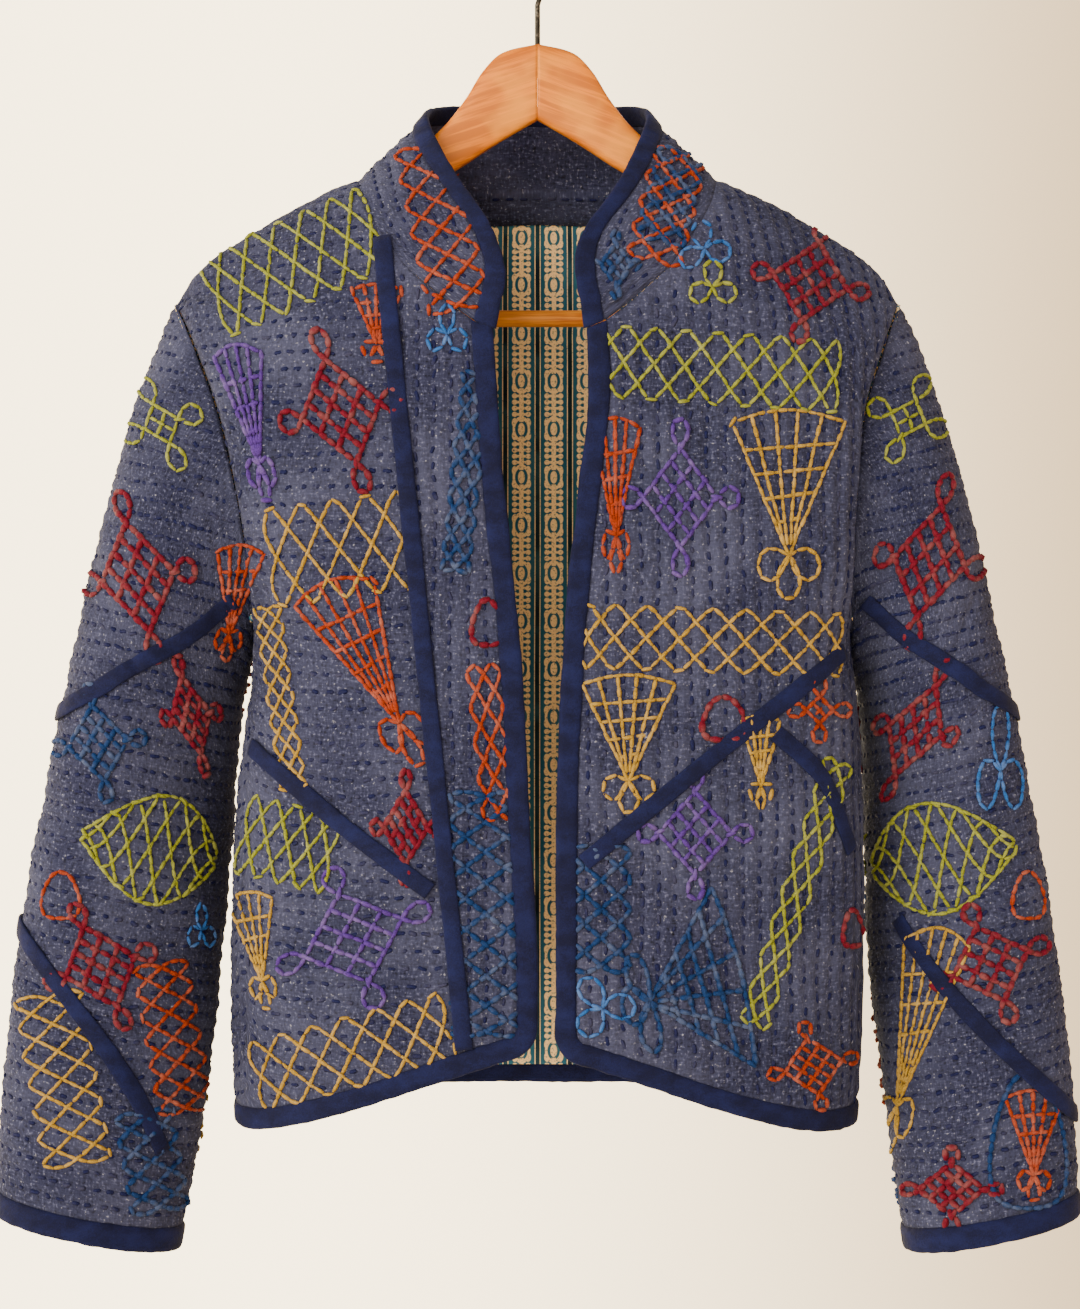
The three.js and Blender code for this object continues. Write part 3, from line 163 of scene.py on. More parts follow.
# How far the front bindings start below the neck and the band's strip keeps from its ends, and how much of a
# crease the strips follow. Then where the strips run.
NECK_CLEARANCE, STRIP_INSET, STRIP_CREASE = 0.6, 2.4, 0.8
DIAGONAL_STRIP_RIGHT = ((-183, -462), (-124, -509), (-67, -551))
DIAGONAL_STRIP_LEFT = ((29, -533), (116, -462), (196, -401))
SIDE_STRIP_LEFT = ((150, -452), (181, -482), (200, -528))
# The sleeves' strips: name, side, and their place down the sleeve outside, in front and behind, from 0 to 1.
# They cover the given share of the round to each side of the outer line.
SLEEVE_STRIP_SHARE = 0.375
SLEEVE_STRIPS = (
    ("upper_sleeve_strip_right", -1, 0.5, 0.12, 0.17), ("lower_sleeve_strip_right", -1, 0.73, 0.9, 0.86),
    ("upper_sleeve_strip_left", 1, 0.5, 0.12, 0.17), ("lower_sleeve_strip_left", 1, 0.91, 0.64, 0.68),
)

# The hanger's arm: x, top, bottom, half thickness; and the stretches of x it is cut at, with their counts.
# Then the camera that the places of motifs are read by.
ARM_SLICES = (
    (0, 0, -50, 7), (24, -6.3, -64, 7), (36.6, -18.8, -72, 7), (47.2, -36, -79, 7), (61.7, -54.5, -88, 7),
    (90, -79, -109, 7), (118, -99, -126, 7), (150, -111, -144, 7), (184, -131.1, -165, 7),
    (193, -137.2, -190, 7), (210, -150.9, -191, 7), (217, -161.8, -181, 5), (220, -168.1, -174, 3),
)
ARM_STATIONS = ((0.02, 118, 60), (120, 216, 34), (216.8, 220, 6))
CAMERA_X, CAMERA_Z, CAMERA_AWAY = 1.65, -481.6, 1800.0
CAMERA_LENS = 75.0
SENSOR_WIDTH = 36.0
IMAGE_WIDTH, IMAGE_HEIGHT = 1080, 1309
PIXELS_PER_TANGENT = CAMERA_LENS / SENSOR_WIDTH * IMAGE_HEIGHT


def linear(code: str) -> Colour:
    """The linear colour of a six-digit sRGB code."""
    parts = [int(code[i:i + 2], 16) / 255 for i in (0, 2, 4)]
    red, green, blue = [c / 12.92 if c <= 0.04045 else ((c + 0.055) / 1.055) ** 2.4 for c in parts]
    return red, green, blue, 1.0


def unit(vectors: Array) -> Array:
    """Vectors brought to length one."""
    return vectors / np.maximum(np.linalg.norm(vectors, axis=-1, keepdims=True), 1e-9)


def travelled(points: Array, axis: int = 0) -> Array:
    """Length run along points from the first one.

    Args:
        points: Places, with their coordinates in the last axis.
        axis: The axis that the path runs along.
    Returns:
        The length at each point.
    """
    steps = np.linalg.norm(np.diff(points, axis=axis), axis=-1)
    start = np.zeros_like(np.take(steps, [0], axis=axis))
    return np.concatenate([start, np.cumsum(steps, axis=axis)], axis=axis)


def read_at(at: Array, run: Array, values: Array) -> Array:
    """Values with several columns, read between the keys of an ascending run."""
    return np.stack([np.interp(at, run, column) for column in values.T], -1)


def rounded(wave: Array, power: float) -> Array:
    """A sine or cosine drawn out towards a square wave."""
    return np.sign(wave) * np.abs(wave) ** power


class Column:
    """A smooth curve through one column of a table."""

    def __init__(self, table: Sequence[Sequence[float]], name: int) -> None:
        """Reads the key column 0 and the named column."""
        self.keys = np.array([row[0] for row in table], float)
        self.values = np.array([row[name] for row in table], float)
        last = len(self.keys) - 1
        before, after = np.maximum(np.arange(last + 1) - 1, 0), np.minimum(np.arange(last + 1) + 1, last)
        self.slopes = (self.values[after] - self.values[before]) / (self.keys[after] - self.keys[before])
        self.turn = np.sign(self.keys[-1] - self.keys[0])

    def __call__(self, at: Array) -> Array:
        """The curve's value at the given keys."""
        found = np.searchsorted(self.keys * self.turn, np.asarray(at, float) * self.turn)
        i = np.clip(found - 1, 0, len(self.keys) - 2)
        span = self.keys[i + 1] - self.keys[i]
        w = np.clip((at - self.keys[i]) / span, 0, 1)
        rise = self.values[i + 1] - self.values[i]
        bow = (1 - w) * (self.slopes[i] * span - rise) - w * (self.slopes[i + 1] * span - rise)
        return self.values[i] + rise * w + w * (1 - w) * bow


class Ripple:
    """Smooth unevenness, as a sum of waves in seeded directions."""

    def __init__(self, seed: int, length: float, count: int = 18) -> None:
        """Draws waves of about the given length in millimetres."""
        draw = np.random.default_rng(seed)
        ways = unit(draw.normal(size=(count, 3)))
        self.waves = ways * (2 * np.pi / (length * draw.uniform(0.7, 1.5, (count, 1))))
        self.phases = draw.uniform(0, 2 * np.pi, count)

    def __call__(self, points: Array) -> Array:
        """The unevenness at points, about -1 to 1."""
        return np.sin(points @ self.waves.T + self.phases).sum(-1) / math.sqrt(len(self.phases))


class Face(Enum):
    """The two faces of the body, by the way they look along Y."""

    FRONT = -1
    BACK = 1


class BodyForm:
    """The body's outer surface, read by x and height."""

    curve_samples, spread_samples = 241, 25
    shoulder = Column(SHOULDER, 1)
    neck_x, neck_height = Column(NECK_FRONT, 1), Column(NECK_FRONT, 2)
    back_neck = Column(NECK_BACK, 1)
    hem = {Face.FRONT: Column(HEM, 1), Face.BACK: Column(HEM, 2)}
    edges = {-1: Column(FRONT_EDGE, 1), 1: Column(FRONT_EDGE, 2)}
    halves = {-1: Column(BODY, 1), 1: Column(BODY, 2)}
    bends = {-1: Column(BODY, 3), 1: Column(BODY, 4)}
    depths = {Face.FRONT: Column(DEPTH, 1), Face.BACK: Column(DEPTH, 2)}
    round_off = {Face.FRONT: 130.0, Face.BACK: 70.0}
    armhole = {Face.FRONT: 44.0, Face.BACK: 46.0}

    @staticmethod
    def folds(face: Face, x: Array, h: Array) -> Array:
        """How deep the long folds are at places."""
        total = np.zeros_like(x)
        for at, top, bottom, lean, width, deep in FOLDS[face.value]:
            w = np.clip((top - h) / (top - bottom), 0, 1)
            total += deep * np.sin(np.pi * w) ** 2 * np.exp(-(((x - at - lean * (h - top)) / width) ** 2))
        return total

    @staticmethod
    def creases(face: Face, x: Array, h: Array) -> Array:
        """How deep the listed creases are at places."""
        total = np.zeros_like(x)
        for at, height, degrees, half, width, deep in CREASES[face.value]:
            c, s = math.cos(math.radians(degrees)), math.sin(math.radians(degrees))
            along = ((x - at) * c + (h - height) * s) / half
            bowed = (h - height) * c - (x - at) * s - 3 * along ** 2
            total += deep * np.exp(-(along ** 4)) * np.exp(-((bowed / width) ** 2))
        return total

    def point(self, face: Face, x: Array, h: Array) -> Array:
        """Places on one face of the body, in millimetres from the origin."""
        right = x < 0
        half = np.where(right, self.halves[-1](h), self.halves[1](h))
        power = np.where(right, self.bends[-1](h), self.bends[1](h))
        swell = (1 - np.minimum(np.abs(x) / half, 1) ** power) ** (1 / power)
        drop = np.clip((self.shoulder(np.abs(x)) - h) / self.round_off[face], 0, 1)
        w = np.clip((ARMHOLE_TOP - h) / (ARMHOLE_TOP - UNDERARM), 0, 1)
        edge = 2 * self.armhole[face] * np.sqrt(w * (1 - w))
        full = np.maximum(self.depths[face](h) * np.sqrt(1 - (1 - drop) ** 2), edge) - self.folds(face, x, h)
        y = SIDE_SEAM_Y * w * (1 - swell) + face.value * (edge + (full - edge) * swell)
        return np.stack([x, y, h - HOOK_REACH], -1)

    def spread(self, face: Face, x: Array, h: Array) -> Array:
        """Where places lie on the flat cloth, in millimetres across from the middle and up from the chest."""
        shares = 1 - (1 - np.linspace(0, 1, self.spread_samples)) ** 2
        xs, hs = (np.broadcast_to(a[..., None], (*x.shape, self.spread_samples)) for a in (x, h))
        across = self.point(face, xs * shares, hs)
        rise = self.point(face, xs, CHEST_HEIGHT + (hs - CHEST_HEIGHT) * shares)
        wide = travelled(across, across.ndim - 2)[..., -1] * np.sign(x)
        tall = travelled(rise, rise.ndim - 2)[..., -1] * np.sign(h - CHEST_HEIGHT)
        return np.stack([wide, tall], -1)

    def evenly(self, face: Face, curve: Curve, count: int) -> Array:
        """Places along a curve at equal distances over the surface."""
        t = np.linspace(0, 1, self.curve_samples)
        places = curve(t)
        run = travelled(self.point(face, places[:, 0], places[:, 1]))
        return curve(np.interp(run[-1] * np.arange(count + 1) / count, run, t))

    def cloth_edge(self, side: int, h: Array) -> Array:
        """The cloth's front edge inside its binding."""
        return self.edges[side](h) + side * EDGE_INSET

    def cloth_hem(self, face: Face, x: Array) -> Array:
        """The cloth's lower edge inside its binding."""
        return self.hem[face](np.abs(x)) + EDGE_INSET

    def corner(self, side: int, degrees: Array) -> Array:
        """The rounded lower corner of a front, by its angle from the front edge."""
        edge = float(self.cloth_edge(side, np.array(CORNER_HEIGHT)))
        bottom = float(self.cloth_hem(Face.FRONT, np.array(edge + side * CLOTH_CORNER)))
        angle = np.radians(degrees)
        x = edge + side * CLOTH_CORNER * (1 - np.cos(angle))
        return np.stack([x, bottom + CLOTH_CORNER * (1 - np.sin(angle))], -1)

    def shoulder_line(self, side: int, count: int) -> Array:
        """Places down the shoulder seam."""
        def curve(t: Array) -> Array:
            """The seam at shares of its width."""
            x = NECK_X + (SHOULDER_X - NECK_X) * t
            return np.stack([side * x, self.shoulder(x)], -1)
        return self.evenly(Face.FRONT, curve, count)

    def neck_line(self, side: int, count: int) -> Array:
        """Places down the front neckline."""
        end = abs(float(self.cloth_edge(side, self.neck_height(np.array(1.0)))))
        reach = end - float(self.neck_x(np.array(1.0)))
        def curve(t: Array) -> Array:
            """The neckline at shares of its length."""
            return np.stack([side * (self.neck_x(t) + reach * t * t), self.neck_height(t)], -1)
        return self.evenly(Face.FRONT, curve, count)

    def back_neck_line(self, count: int) -> Array:
        """Places along the back neckline."""
        def curve(t: Array) -> Array:
            """The back neckline at shares of its width."""
            x = NECK_X * (2 * t - 1)
            return np.stack([x, self.back_neck(np.abs(x))], -1)
        return self.evenly(Face.BACK, curve, count)

    def armhole_line(self, side: int, face: Face, count: int) -> Array:
        """Places down the armhole seam."""
        def curve(t: Array) -> Array:
            """The armhole at shares of its height."""
            h = ARMHOLE_TOP + (UNDERARM - ARMHOLE_TOP) * (1 - np.cos(np.pi * t)) / 2
            return np.stack([side * self.halves[side](h), h], -1)
        return self.evenly(face, curve, count)

    def outer_line(self, side: int, face: Face, steps: int) -> Array:
        """Places down the armhole and the side seam, to the hem."""
        half = self.halves[side]
        bottom = float(self.cloth_hem(face, half(np.array(SIDE_SEAM_FOOT))))
        def curve(t: Array, end: float = bottom + CLOTH_CORNER, start: float = UNDERARM) -> Array:
            """The side seam at shares of its height."""
            h = start + (end - start) * t
            return np.stack([side * half(h), h], -1)
        flank = self.evenly(face, curve, SIDE_ROWS * steps)
        foot = curve(np.arange(1, BORDER_STEPS + 1) / BORDER_STEPS, bottom, bottom + CLOTH_CORNER)
        return np.concatenate([self.armhole_line(side, face, ARMHOLE_ROWS * steps), flank[1:], foot])

    def edge_line(self, side: int, stations: int, steps: int) -> Array:
        """Places down the front edge and half round its corner."""
        top, bottom = float(self.neck_height(np.array(1.0))), float(self.corner(side, np.array(0.0))[1])
        def curve(t: Array) -> Array:
            """The edge at shares of its height."""
            h = top + (bottom - top) * t
            return np.stack([self.cloth_edge(side, h), h], -1)
        turned = self.corner(side, 45 * np.arange(1, BORDER_STEPS + 1) / BORDER_STEPS)
        return np.concatenate([self.evenly(Face.FRONT, curve, (stations - 1) * steps), turned])

    def hem_line(self, face: Face, start: float, end: float, count: int) -> Array:
        """Places along the cloth's lower edge."""
        def curve(t: Array) -> Array:
            """The hem at shares of its width."""
            x = start + (end - start) * t
            return np.stack([x, self.cloth_hem(face, x)], -1)
        return self.evenly(face, curve, count)

    def band_seam(self, steps: int) -> Array:
        """Places down the seam between the centre band and the side piece."""
        top = self.neck_line(-1, NECK_ROWS)[BAND_TOP]
        bottom = float(self.cloth_hem(Face.FRONT, np.array(BAND_SEAM_BOTTOM_X)))
        above = np.array([BAND_SEAM_BOTTOM_X, bottom + CLOTH_CORNER])
        count = (ARMHOLE_ROWS + SIDE_ROWS - BAND_TOP) * steps
        line = self.evenly(Face.FRONT, lambda t: top + (above - top) * t[:, None], count)
        drops = CLOTH_CORNER * np.arange(1, BORDER_STEPS + 1) / BORDER_STEPS
        return np.concatenate([line, np.stack([np.full(BORDER_STEPS, above[0]), above[1] - drops], -1)])


FORM = BodyForm()


def patch(top: Array, bottom: Array, inner: Array, outer: Array) -> Array:
    """Places of a panel between four rows of stations that meet at their ends.

    Args:
        top: Places along the upper edge, from the inner to the outer one.
        bottom: Places along the lower edge.
        inner: Places down the inner edge.
        outer: Places down the outer edge.
    Returns:
        An array of rows and columns of x and height.
    """
    def shares(line: Array) -> Array:
        """How far along each place is, from 0 to 1."""
        run = travelled(line)
        return run / run[-1]
    v = ((shares(inner) + shares(outer)) / 2)[:, None, None]
    u = shares(top)[None, :, None] * (1 - v) + shares(bottom)[None, :, None] * v
    sides = (1 - u) * inner[:, None] + u * outer[:, None]
    ends = (1 - v) * top[None] + v * bottom[None]
    upper = (1 - u) * top[0] + u * top[-1]
    lower = (1 - u) * bottom[0] + u * bottom[-1]
    return sides + ends - (1 - v) * upper - v * lower


@dataclass
class Sheet:
    """A panel's rows and columns of places, its outward normals and where each lies on the flat cloth."""

    points: Array
    normals: Array
    flat: Array

    @classmethod
    def over(cls, points: Array, flat: Array, outward: Array, ring: bool = False) -> "Sheet":
        """Finds the normals of a panel.

        Args:
            points: Rows and columns of places.
            flat: Where each lies on the flat cloth.
            outward: A direction out of the jacket for each place.
            ring: Whether the last column closes on the first.
        Returns:
            The sheet.
        """
        down = np.gradient(points, axis=0)
        wide = np.gradient(points, axis=1)
        if ring:
            wide[:, 0] = wide[:, -1] = points[:, 1] - points[:, -2]
        normals = unit(np.cross(wide, down))
        return cls(points, normals * np.sign((normals * outward).sum(-1).mean()), flat)

    @classmethod
    def of_body(cls, face: Face, places: Array) -> "Sheet":
        """A panel of the body over rows and columns of x and height."""
        x, h = places[..., 0], places[..., 1]
        points = FORM.point(face, x, h)
        outward = np.stack([np.sign(x) / 2, np.full_like(x, face.value), np.full_like(x, 0.2)], -1)
        sheet = cls.over(points, FORM.spread(face, x, h), outward)
        creased = points - sheet.normals * (FORM.creases(face, x, h) * border_fade(points, 6))[..., None]
        return cls.over(creased, sheet.flat, outward)

    def moved(self, amount: Array | float) -> Array:
        """The places, moved out along the normals."""
        return self.points + self.normals * (amount[..., None] if isinstance(amount, np.ndarray) else amount)

    def area(self) -> float:
        """The sheet's area in square metres."""
        p = self.points
        across = np.cross(p[1:, 1:] - p[:-1, :-1], p[1:, :-1] - p[:-1, 1:])
        return float(np.linalg.norm(across, axis=-1).sum() / 2 * MM * MM)


def border_fade(points: Array, reach: int, ring: bool = False) -> Array:
    """Rises from 0 on a panel's border to 1 inside it, over a number of rows and columns."""
    rows, columns = points.shape[:2]
    j, k = np.arange(rows)[:, None], np.arange(columns)[None, :]
    near = np.minimum(j, rows - 1 - j) + 0 * k
    if not ring:
        near = np.minimum(near, np.minimum(k, columns - 1 - k))
    w = np.clip(near / reach, 0, 1)
    return w * w * (3 - 2 * w)


def arithmetic(operation: str, swapped: bool = False) -> Callable[..., "Value"]:
    """Makes a method of Value that adds a Math node.

    Args:
        operation: The node's operation.
        swapped: Whether the value itself comes last.
    Returns:
        The method.
    """
    def method(self: "Value", *others: "Value | float") -> "Value":
        """A Math node over the value and the others."""
        values = (*others, self) if swapped else (self, *others)
        made = self.board.node("ShaderNodeMath", {"operation": operation}, dict(enumerate(values)))
        return Value(self.board, made.outputs[0])
    return method


class Value:
    """A number in a material, on which Python's arithmetic adds Math nodes."""

    def __init__(self, board: "Board", socket: Socket) -> None:
        """Wraps an output socket."""
        self.board, self.socket = board, socket

    __add__ = __radd__ = arithmetic("ADD")
    __mul__ = __rmul__ = arithmetic("MULTIPLY")
    __sub__, __rsub__ = arithmetic("SUBTRACT"), arithmetic("SUBTRACT", swapped=True)
    __truediv__, __pow__, __abs__ = arithmetic("DIVIDE"), arithmetic("POWER"), arithmetic("ABSOLUTE")
    fract, high = arithmetic("FRACT"), arithmetic("MAXIMUM")

    def step(self, start: float, end: float) -> "Value":
        """Rises softly from 0 at start to 1 at end, which may lie below it."""
        turned = start > end
        low, high = (end, start) if turned else (start, end)
        made = self.board.node("ShaderNodeMapRange", {"interpolation_type": "SMOOTHSTEP"}, {
            "Value": self, "From Min": low, "From Max": high,
            "To Min": float(turned), "To Max": float(not turned)})
        return Value(self.board, made.outputs[0])


class Board:
    """A material's nodes."""

    def __init__(self, name: str) -> None:
        """Starts an empty material."""
        self.material = bpy.data.materials.new(name)
        self.material.use_nodes = True
        self.tree = self.material.node_tree
        self.tree.nodes.clear()

    def node(self, kind: str, settings: dict | None = None, sockets: dict | None = None) -> bpy.types.Node:
        """Adds a node.

        Args:
            kind: The node's type.
            settings: Its settings, set first.
            sockets: Values or links of its inputs, by name or number.
        Returns:
            The node.
        """
        made = self.tree.nodes.new(kind)
        for name, value in (settings or {}).items():
            setattr(made, name, value)
        for key, value in (sockets or {}).items():
            source = value.socket if isinstance(value, Value) else value
            if isinstance(source, Socket):
                self.tree.links.new(source, made.inputs[key])
            else:
                made.inputs[key].default_value = source
        return made

    def flat(self) -> Socket:
        """The place on the flat cloth, in metres."""
        return self.node("ShaderNodeUVMap", {"uv_map": UV_NAME}).outputs[0]

    def place(self) -> Socket:
        """The place in the row's frame, in metres."""
        return self.node("ShaderNodeTexCoord").outputs["Object"]

    def scaled(self, vector: Socket, factors: Triple) -> Socket:
        """A place with each axis multiplied."""
        made = self.node("ShaderNodeVectorMath", {"operation": "MULTIPLY"}, {0: vector, 1: factors})
        return made.outputs[0]

    def noise(self, vector: Socket, factors: Triple, detail: float = 2.0) -> Value:
        """Noise at a place, with its frequency along each axis."""
        made = self.node("ShaderNodeTexNoise", {}, {
            "Vector": self.scaled(vector, factors), "Scale": 1.0, "Detail": detail, "Roughness": 0.55})
        return Value(self, made.outputs[0])

    def axes(self, vector: Socket) -> list[Value]:
        """A place's three numbers."""
        return [Value(self, s) for s in self.node("ShaderNodeSeparateXYZ", {}, {0: vector}).outputs]

    def mix(self, factor: Value | float, first: object, second: object) -> Socket:
        """A colour between two."""
        made = self.node("ShaderNodeMix", {"data_type": "RGBA"}, {0: factor, 6: first, 7: second})
        return made.outputs[2]

    def bump(self, height: Value, depth_mm: float) -> Socket:
        """A normal from a height in millimetres."""
        sockets = {"Strength": 1.0, "Distance": depth_mm * MM, "Height": height}
        return self.node("ShaderNodeBump", {}, sockets).outputs[0]

    def surface(self, **sockets: object) -> Material:
        """Ends the material in a shader, whose socket names have _ for a space."""
        named = {name.replace("_", " "): value for name, value in sockets.items()}
        shader = self.node("ShaderNodeBsdfPrincipled", {}, named)
        self.node("ShaderNodeOutputMaterial", {}, {0: shader.outputs[0]})
        return self.material


@dataclass(frozen=True)
class HeatherCloth:
    """Blue-grey slubbed cotton with pale flecks."""

    name: str = "heather_cloth"
    dark: str = "0B0C1C"
    body: str = "272B4A"
    light: str = "646A92"
    fleck: str = "9498AE"

    def material(self) -> Material:
        """The finish."""
        board = Board(self.name)
        flat = board.flat()
        weft = board.noise(flat, (240, 640, 1))
        warp = board.noise(flat, (640, 240, 1))
        threads = (weft + warp) * 0.5
        patches = board.noise(flat, (14, 14, 1), 3)
        grain = board.noise(flat, (420, 420, 1), 1)
        low = board.mix(threads.step(0.30, 0.52), linear(self.dark), linear(self.body))
        shade = board.mix(threads.step(0.52, 0.72) * 0.85, low, linear(self.light))
        worn = board.mix(patches.step(0.35, 0.7) * 0.22, shade, linear(self.light))
        flecks = grain.step(0.66, 0.72) * threads.step(0.42, 0.58)
        colour = board.mix(flecks * 0.6, worn, linear(self.fleck))
        crinkle = board.noise(flat, (120, 150, 1), 2)
        height = threads * 1.2 + grain * 0.6 + crinkle * 2.2
        return board.surface(Base_Color=colour, Roughness=0.92, Normal=board.bump(height, 0.7),
                             Sheen_Weight=0.03, Sheen_Roughness=0.6, Specular_IOR_Level=0.12)


@dataclass(frozen=True)
class NavyCotton:
    """Plain navy cotton, cut on the bias, faintly worn in scattered patches."""

    name: str = "navy_cotton"
    dark: str = "090D2E"
    light: str = "131A4A"

    def material(self) -> Material:
        """The finish."""
        board = Board(self.name)
        place = board.place()
        weave = board.noise(place, (1300, 1300, 1300), 1)
        worn = board.noise(place, (55, 55, 90), 3)
        puckers = board.noise(place, (150, 150, 260), 2)
        colour = board.mix((worn * 0.6 + weave * 0.4).step(0.36, 0.68), linear(self.dark), linear(self.light))
        return board.surface(Base_Color=colour, Roughness=0.85, Sheen_Weight=0.03, Specular_IOR_Level=0.15,
                             Normal=board.bump(weave * 0.35 + puckers * 1.6, 0.5))


@dataclass(frozen=True)
class Thread:
    """Soft cotton thread, slightly uneven in its dye."""

    name: str
    code: str
    lighten: float = 0.08

    def material(self) -> Material:
        """The finish."""
        board = Board(f"thread_{self.name}")
        place = board.place()
        dye = board.noise(place, (90, 90, 90), 3)
        strand = board.noise(place, (900, 900, 900), 1)
        body = linear(self.code)
        pale = tuple(c + (1 - c) * self.lighten for c in body[:3]) + (1.0,)
        dark = tuple(c * 0.62 for c in body[:3]) + (1.0,)
        shade = board.mix(strand.step(0.3, 0.62), dark, body)
        colour = board.mix(dye.step(0.4, 0.75) * 0.7, shade, pale)
        return board.surface(Base_Color=colour, Roughness=0.7, Normal=board.bump(strand, 0.3),
                             Sheen_Weight=0.02, Specular_IOR_Level=0.15)


@dataclass(frozen=True)
class StripedPrint:
    """Block-printed lining: vertical stripes of a cream vine on teal between dark lines."""

    name: str = "striped_print"
    ground: str = "1F5878"
    deep: str = "0A1A2A"
    faded: str = "3E7A92"
    cream: str = "FFDDA8"
    pitch: float = 22.3
    period: float = 33.0

    def material(self) -> Material:
        """The finish."""
        board = Board(self.name)
        flat = board.flat()
        across, along, _ = board.axes(board.scaled(flat, (1000, 1000, 1000)))
        cell = across / self.pitch
        x = (cell.fract() - 0.5) * self.pitch
        y = abs(((along / self.period).fract() - 0.5) * self.period)
        edge = abs(x)
        def oval(half: float, tall: float) -> Value:
            """How far out a place lies, where 1 is the rim of an oval on the cell's middle."""
            return ((x / half) ** 2 + (y / tall) ** 2) ** 0.5
        ring = abs(oval(5.2, 7.6) - 1).step(0.2, 0.12)
        motif = oval(2.3, 4.3).step(1.08, 0.94).high(ring).high(edge.step(1.7, 1.3) * y.step(4.8, 5.2))
        for at_y in (10.2, 14.4):
            arm = abs(y - at_y)
            knob = ((edge - 4.7) ** 2 + arm ** 2) ** 0.5
            motif = motif.high(arm.step(1.05, 0.7) * edge.step(5.2, 4.8)).high(knob.step(2.0, 1.6))
        leaf = abs(((edge - 4.6) ** 2 / 4.4 + (y - 4.4) ** 2 / 12) ** 0.5)
        motif = motif.high(leaf.step(1.02, 0.86) * oval(4.4, 6.4).step(0.95, 1.05))
        lines = edge.step(9.0, 9.15) * edge.step(9.75, 9.6)
        wear = board.noise(flat, (700, 700, 1), 2).step(0.22, 0.5)
        ground = board.mix(edge.step(9.7, 9.9), linear(self.ground), linear(self.deep))
        age = board.noise(flat, (30, 30, 1), 3).step(0.35, 0.75)
        aged = board.mix(age * 0.35, ground, linear(self.faded))
        colour = board.mix(motif.high(lines) * wear, aged, linear(self.cream))
        weave = board.noise(flat, (1100, 1100, 1), 1)
        return board.surface(Base_Color=colour, Roughness=0.88, Normal=board.bump(weave, 0.2),
                             Sheen_Weight=0.08, Specular_IOR_Level=0.2)


@dataclass(frozen=True)
class LacqueredWood:
    """Honey-coloured wood under clear lacquer, its grain turned a little on each half."""

    name: str
    lean: float = 0.0
    body: str = "D97A0A"
    late: str = "B46010"
    pale: str = "F09A24"

    def material(self) -> Material:
        """The finish."""
        board = Board(self.name)
        sockets = {"Vector": board.place(), "Rotation": (0, self.lean, 0)}
        turned = board.node("ShaderNodeMapping", {}, sockets).outputs[0]
        rings = board.noise(turned, (18, 240, 330), 3)
        pores = board.noise(turned, (120, 1500, 1900), 2)
        glow = board.noise(turned, (30, 30, 30), 2)
        grain = board.mix(rings.step(0.42, 0.62), linear(self.late), linear(self.body))
        warm = board.mix(glow.step(0.4, 0.7) * 0.6, grain, linear(self.pale))
        colour = board.mix(pores.step(0.62, 0.72) * 0.35, warm, linear(self.late))
        return board.surface(Base_Color=colour, Roughness=0.42 - 0.08 * rings, Normal=board.bump(pores, 0.05),
                             Coat_Weight=0.06, Coat_Roughness=0.25, Specular_IOR_Level=0.2)


@dataclass(frozen=True)
class DarkWire:
    """Dark satin steel wire with rubbed spots."""

    name: str = "dark_wire"
    dark: str = "262422"
    rubbed: str = "5A5653"

    def material(self) -> Material:
        """The finish."""
        board = Board(self.name)
        rub = board.noise(board.place(), (300, 300, 300), 3)
        colour = board.mix(rub.step(0.5, 0.75), linear(self.dark), linear(self.rubbed))
        return board.surface(Base_Color=colour, Metallic=0.85, Roughness=0.5 - rub * 0.2,
                             Normal=board.bump(rub, 0.05))


@dataclass(frozen=True)
class PaleFloor:
    """A plain pale floor."""

    name: str = "pale_floor"
    light: str = "E6E0D2"
    dark: str = "DAD2C0"

    def material(self) -> Material:
        """The finish."""
        board = Board(self.name)
        dust = board.noise(board.place(), (6, 6, 6), 3)
        colour = board.mix(dust * 0.4, linear(self.light), linear(self.dark))
        return board.surface(Base_Color=colour, Roughness=0.9)


class ThreadColour(Enum):
    """The threads of the embroidery, by their sRGB codes."""

    LIME = "7E8628"
    MUSTARD = "A08030"
    RUST = "8C2C08"
    CRIMSON = "640022"
    TEAL = "052D66"
    SKY = "1F58A8"
    PURPLE = "482C88"


class Motif(Enum):
    """The kinds of interlaced line motif."""

    KNOT = "knot"
    BAND = "band"
    LATTICE = "lattice"
    CONE = "cone"
    LEAF = "leaf"
    FLOWER = "flower"
    TREFOIL = "trefoil"
    LOOP = "loop"


class Finishes:
    """The materials of the jacket and its hanger, made once."""

    def __init__(self) -> None:
        """Makes each material."""
        self.cloth = HeatherCloth().material()
        self.navy = NavyCotton().material()
        self.lining = StripedPrint().material()
        self.running = Thread("running_navy", "0D1446", 0.04).material()
        self.threads = {c: Thread(c.name.lower(), c.value).material() for c in ThreadColour}
        self.wood_right = LacqueredWood("wood_right", 0.32).material()
        self.wood_left = LacqueredWood("wood_left", -0.36).material()
        self.wood_bar = LacqueredWood("wood_bar", 0.0, "E08C1E").material()
        self.wire = DarkWire().material()


def piece(name: str, mesh: Mesh, materials: Sequence[Material],
          replaced: Sequence[str] = ()) -> Object:
    """Puts a finished mesh into the scene, riding on the jacket.

    Args:
        name: The piece's name.
        mesh: Its mesh, in millimetres.
        materials: Its materials, in slot order.
        replaced: The CAD nodes that it stands for.
    Returns:
        The object.
    """
    mesh.transform(Matrix.Scale(MM, 4))
    made = bpy.data.objects.new(name, mesh)
    bpy.context.scene.collection.objects.link(made)
    for material in materials:
        mesh.materials.append(material)
    mesh.shade_smooth()
    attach(made, "root")
    if replaced:
        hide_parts(*replaced)
    return made


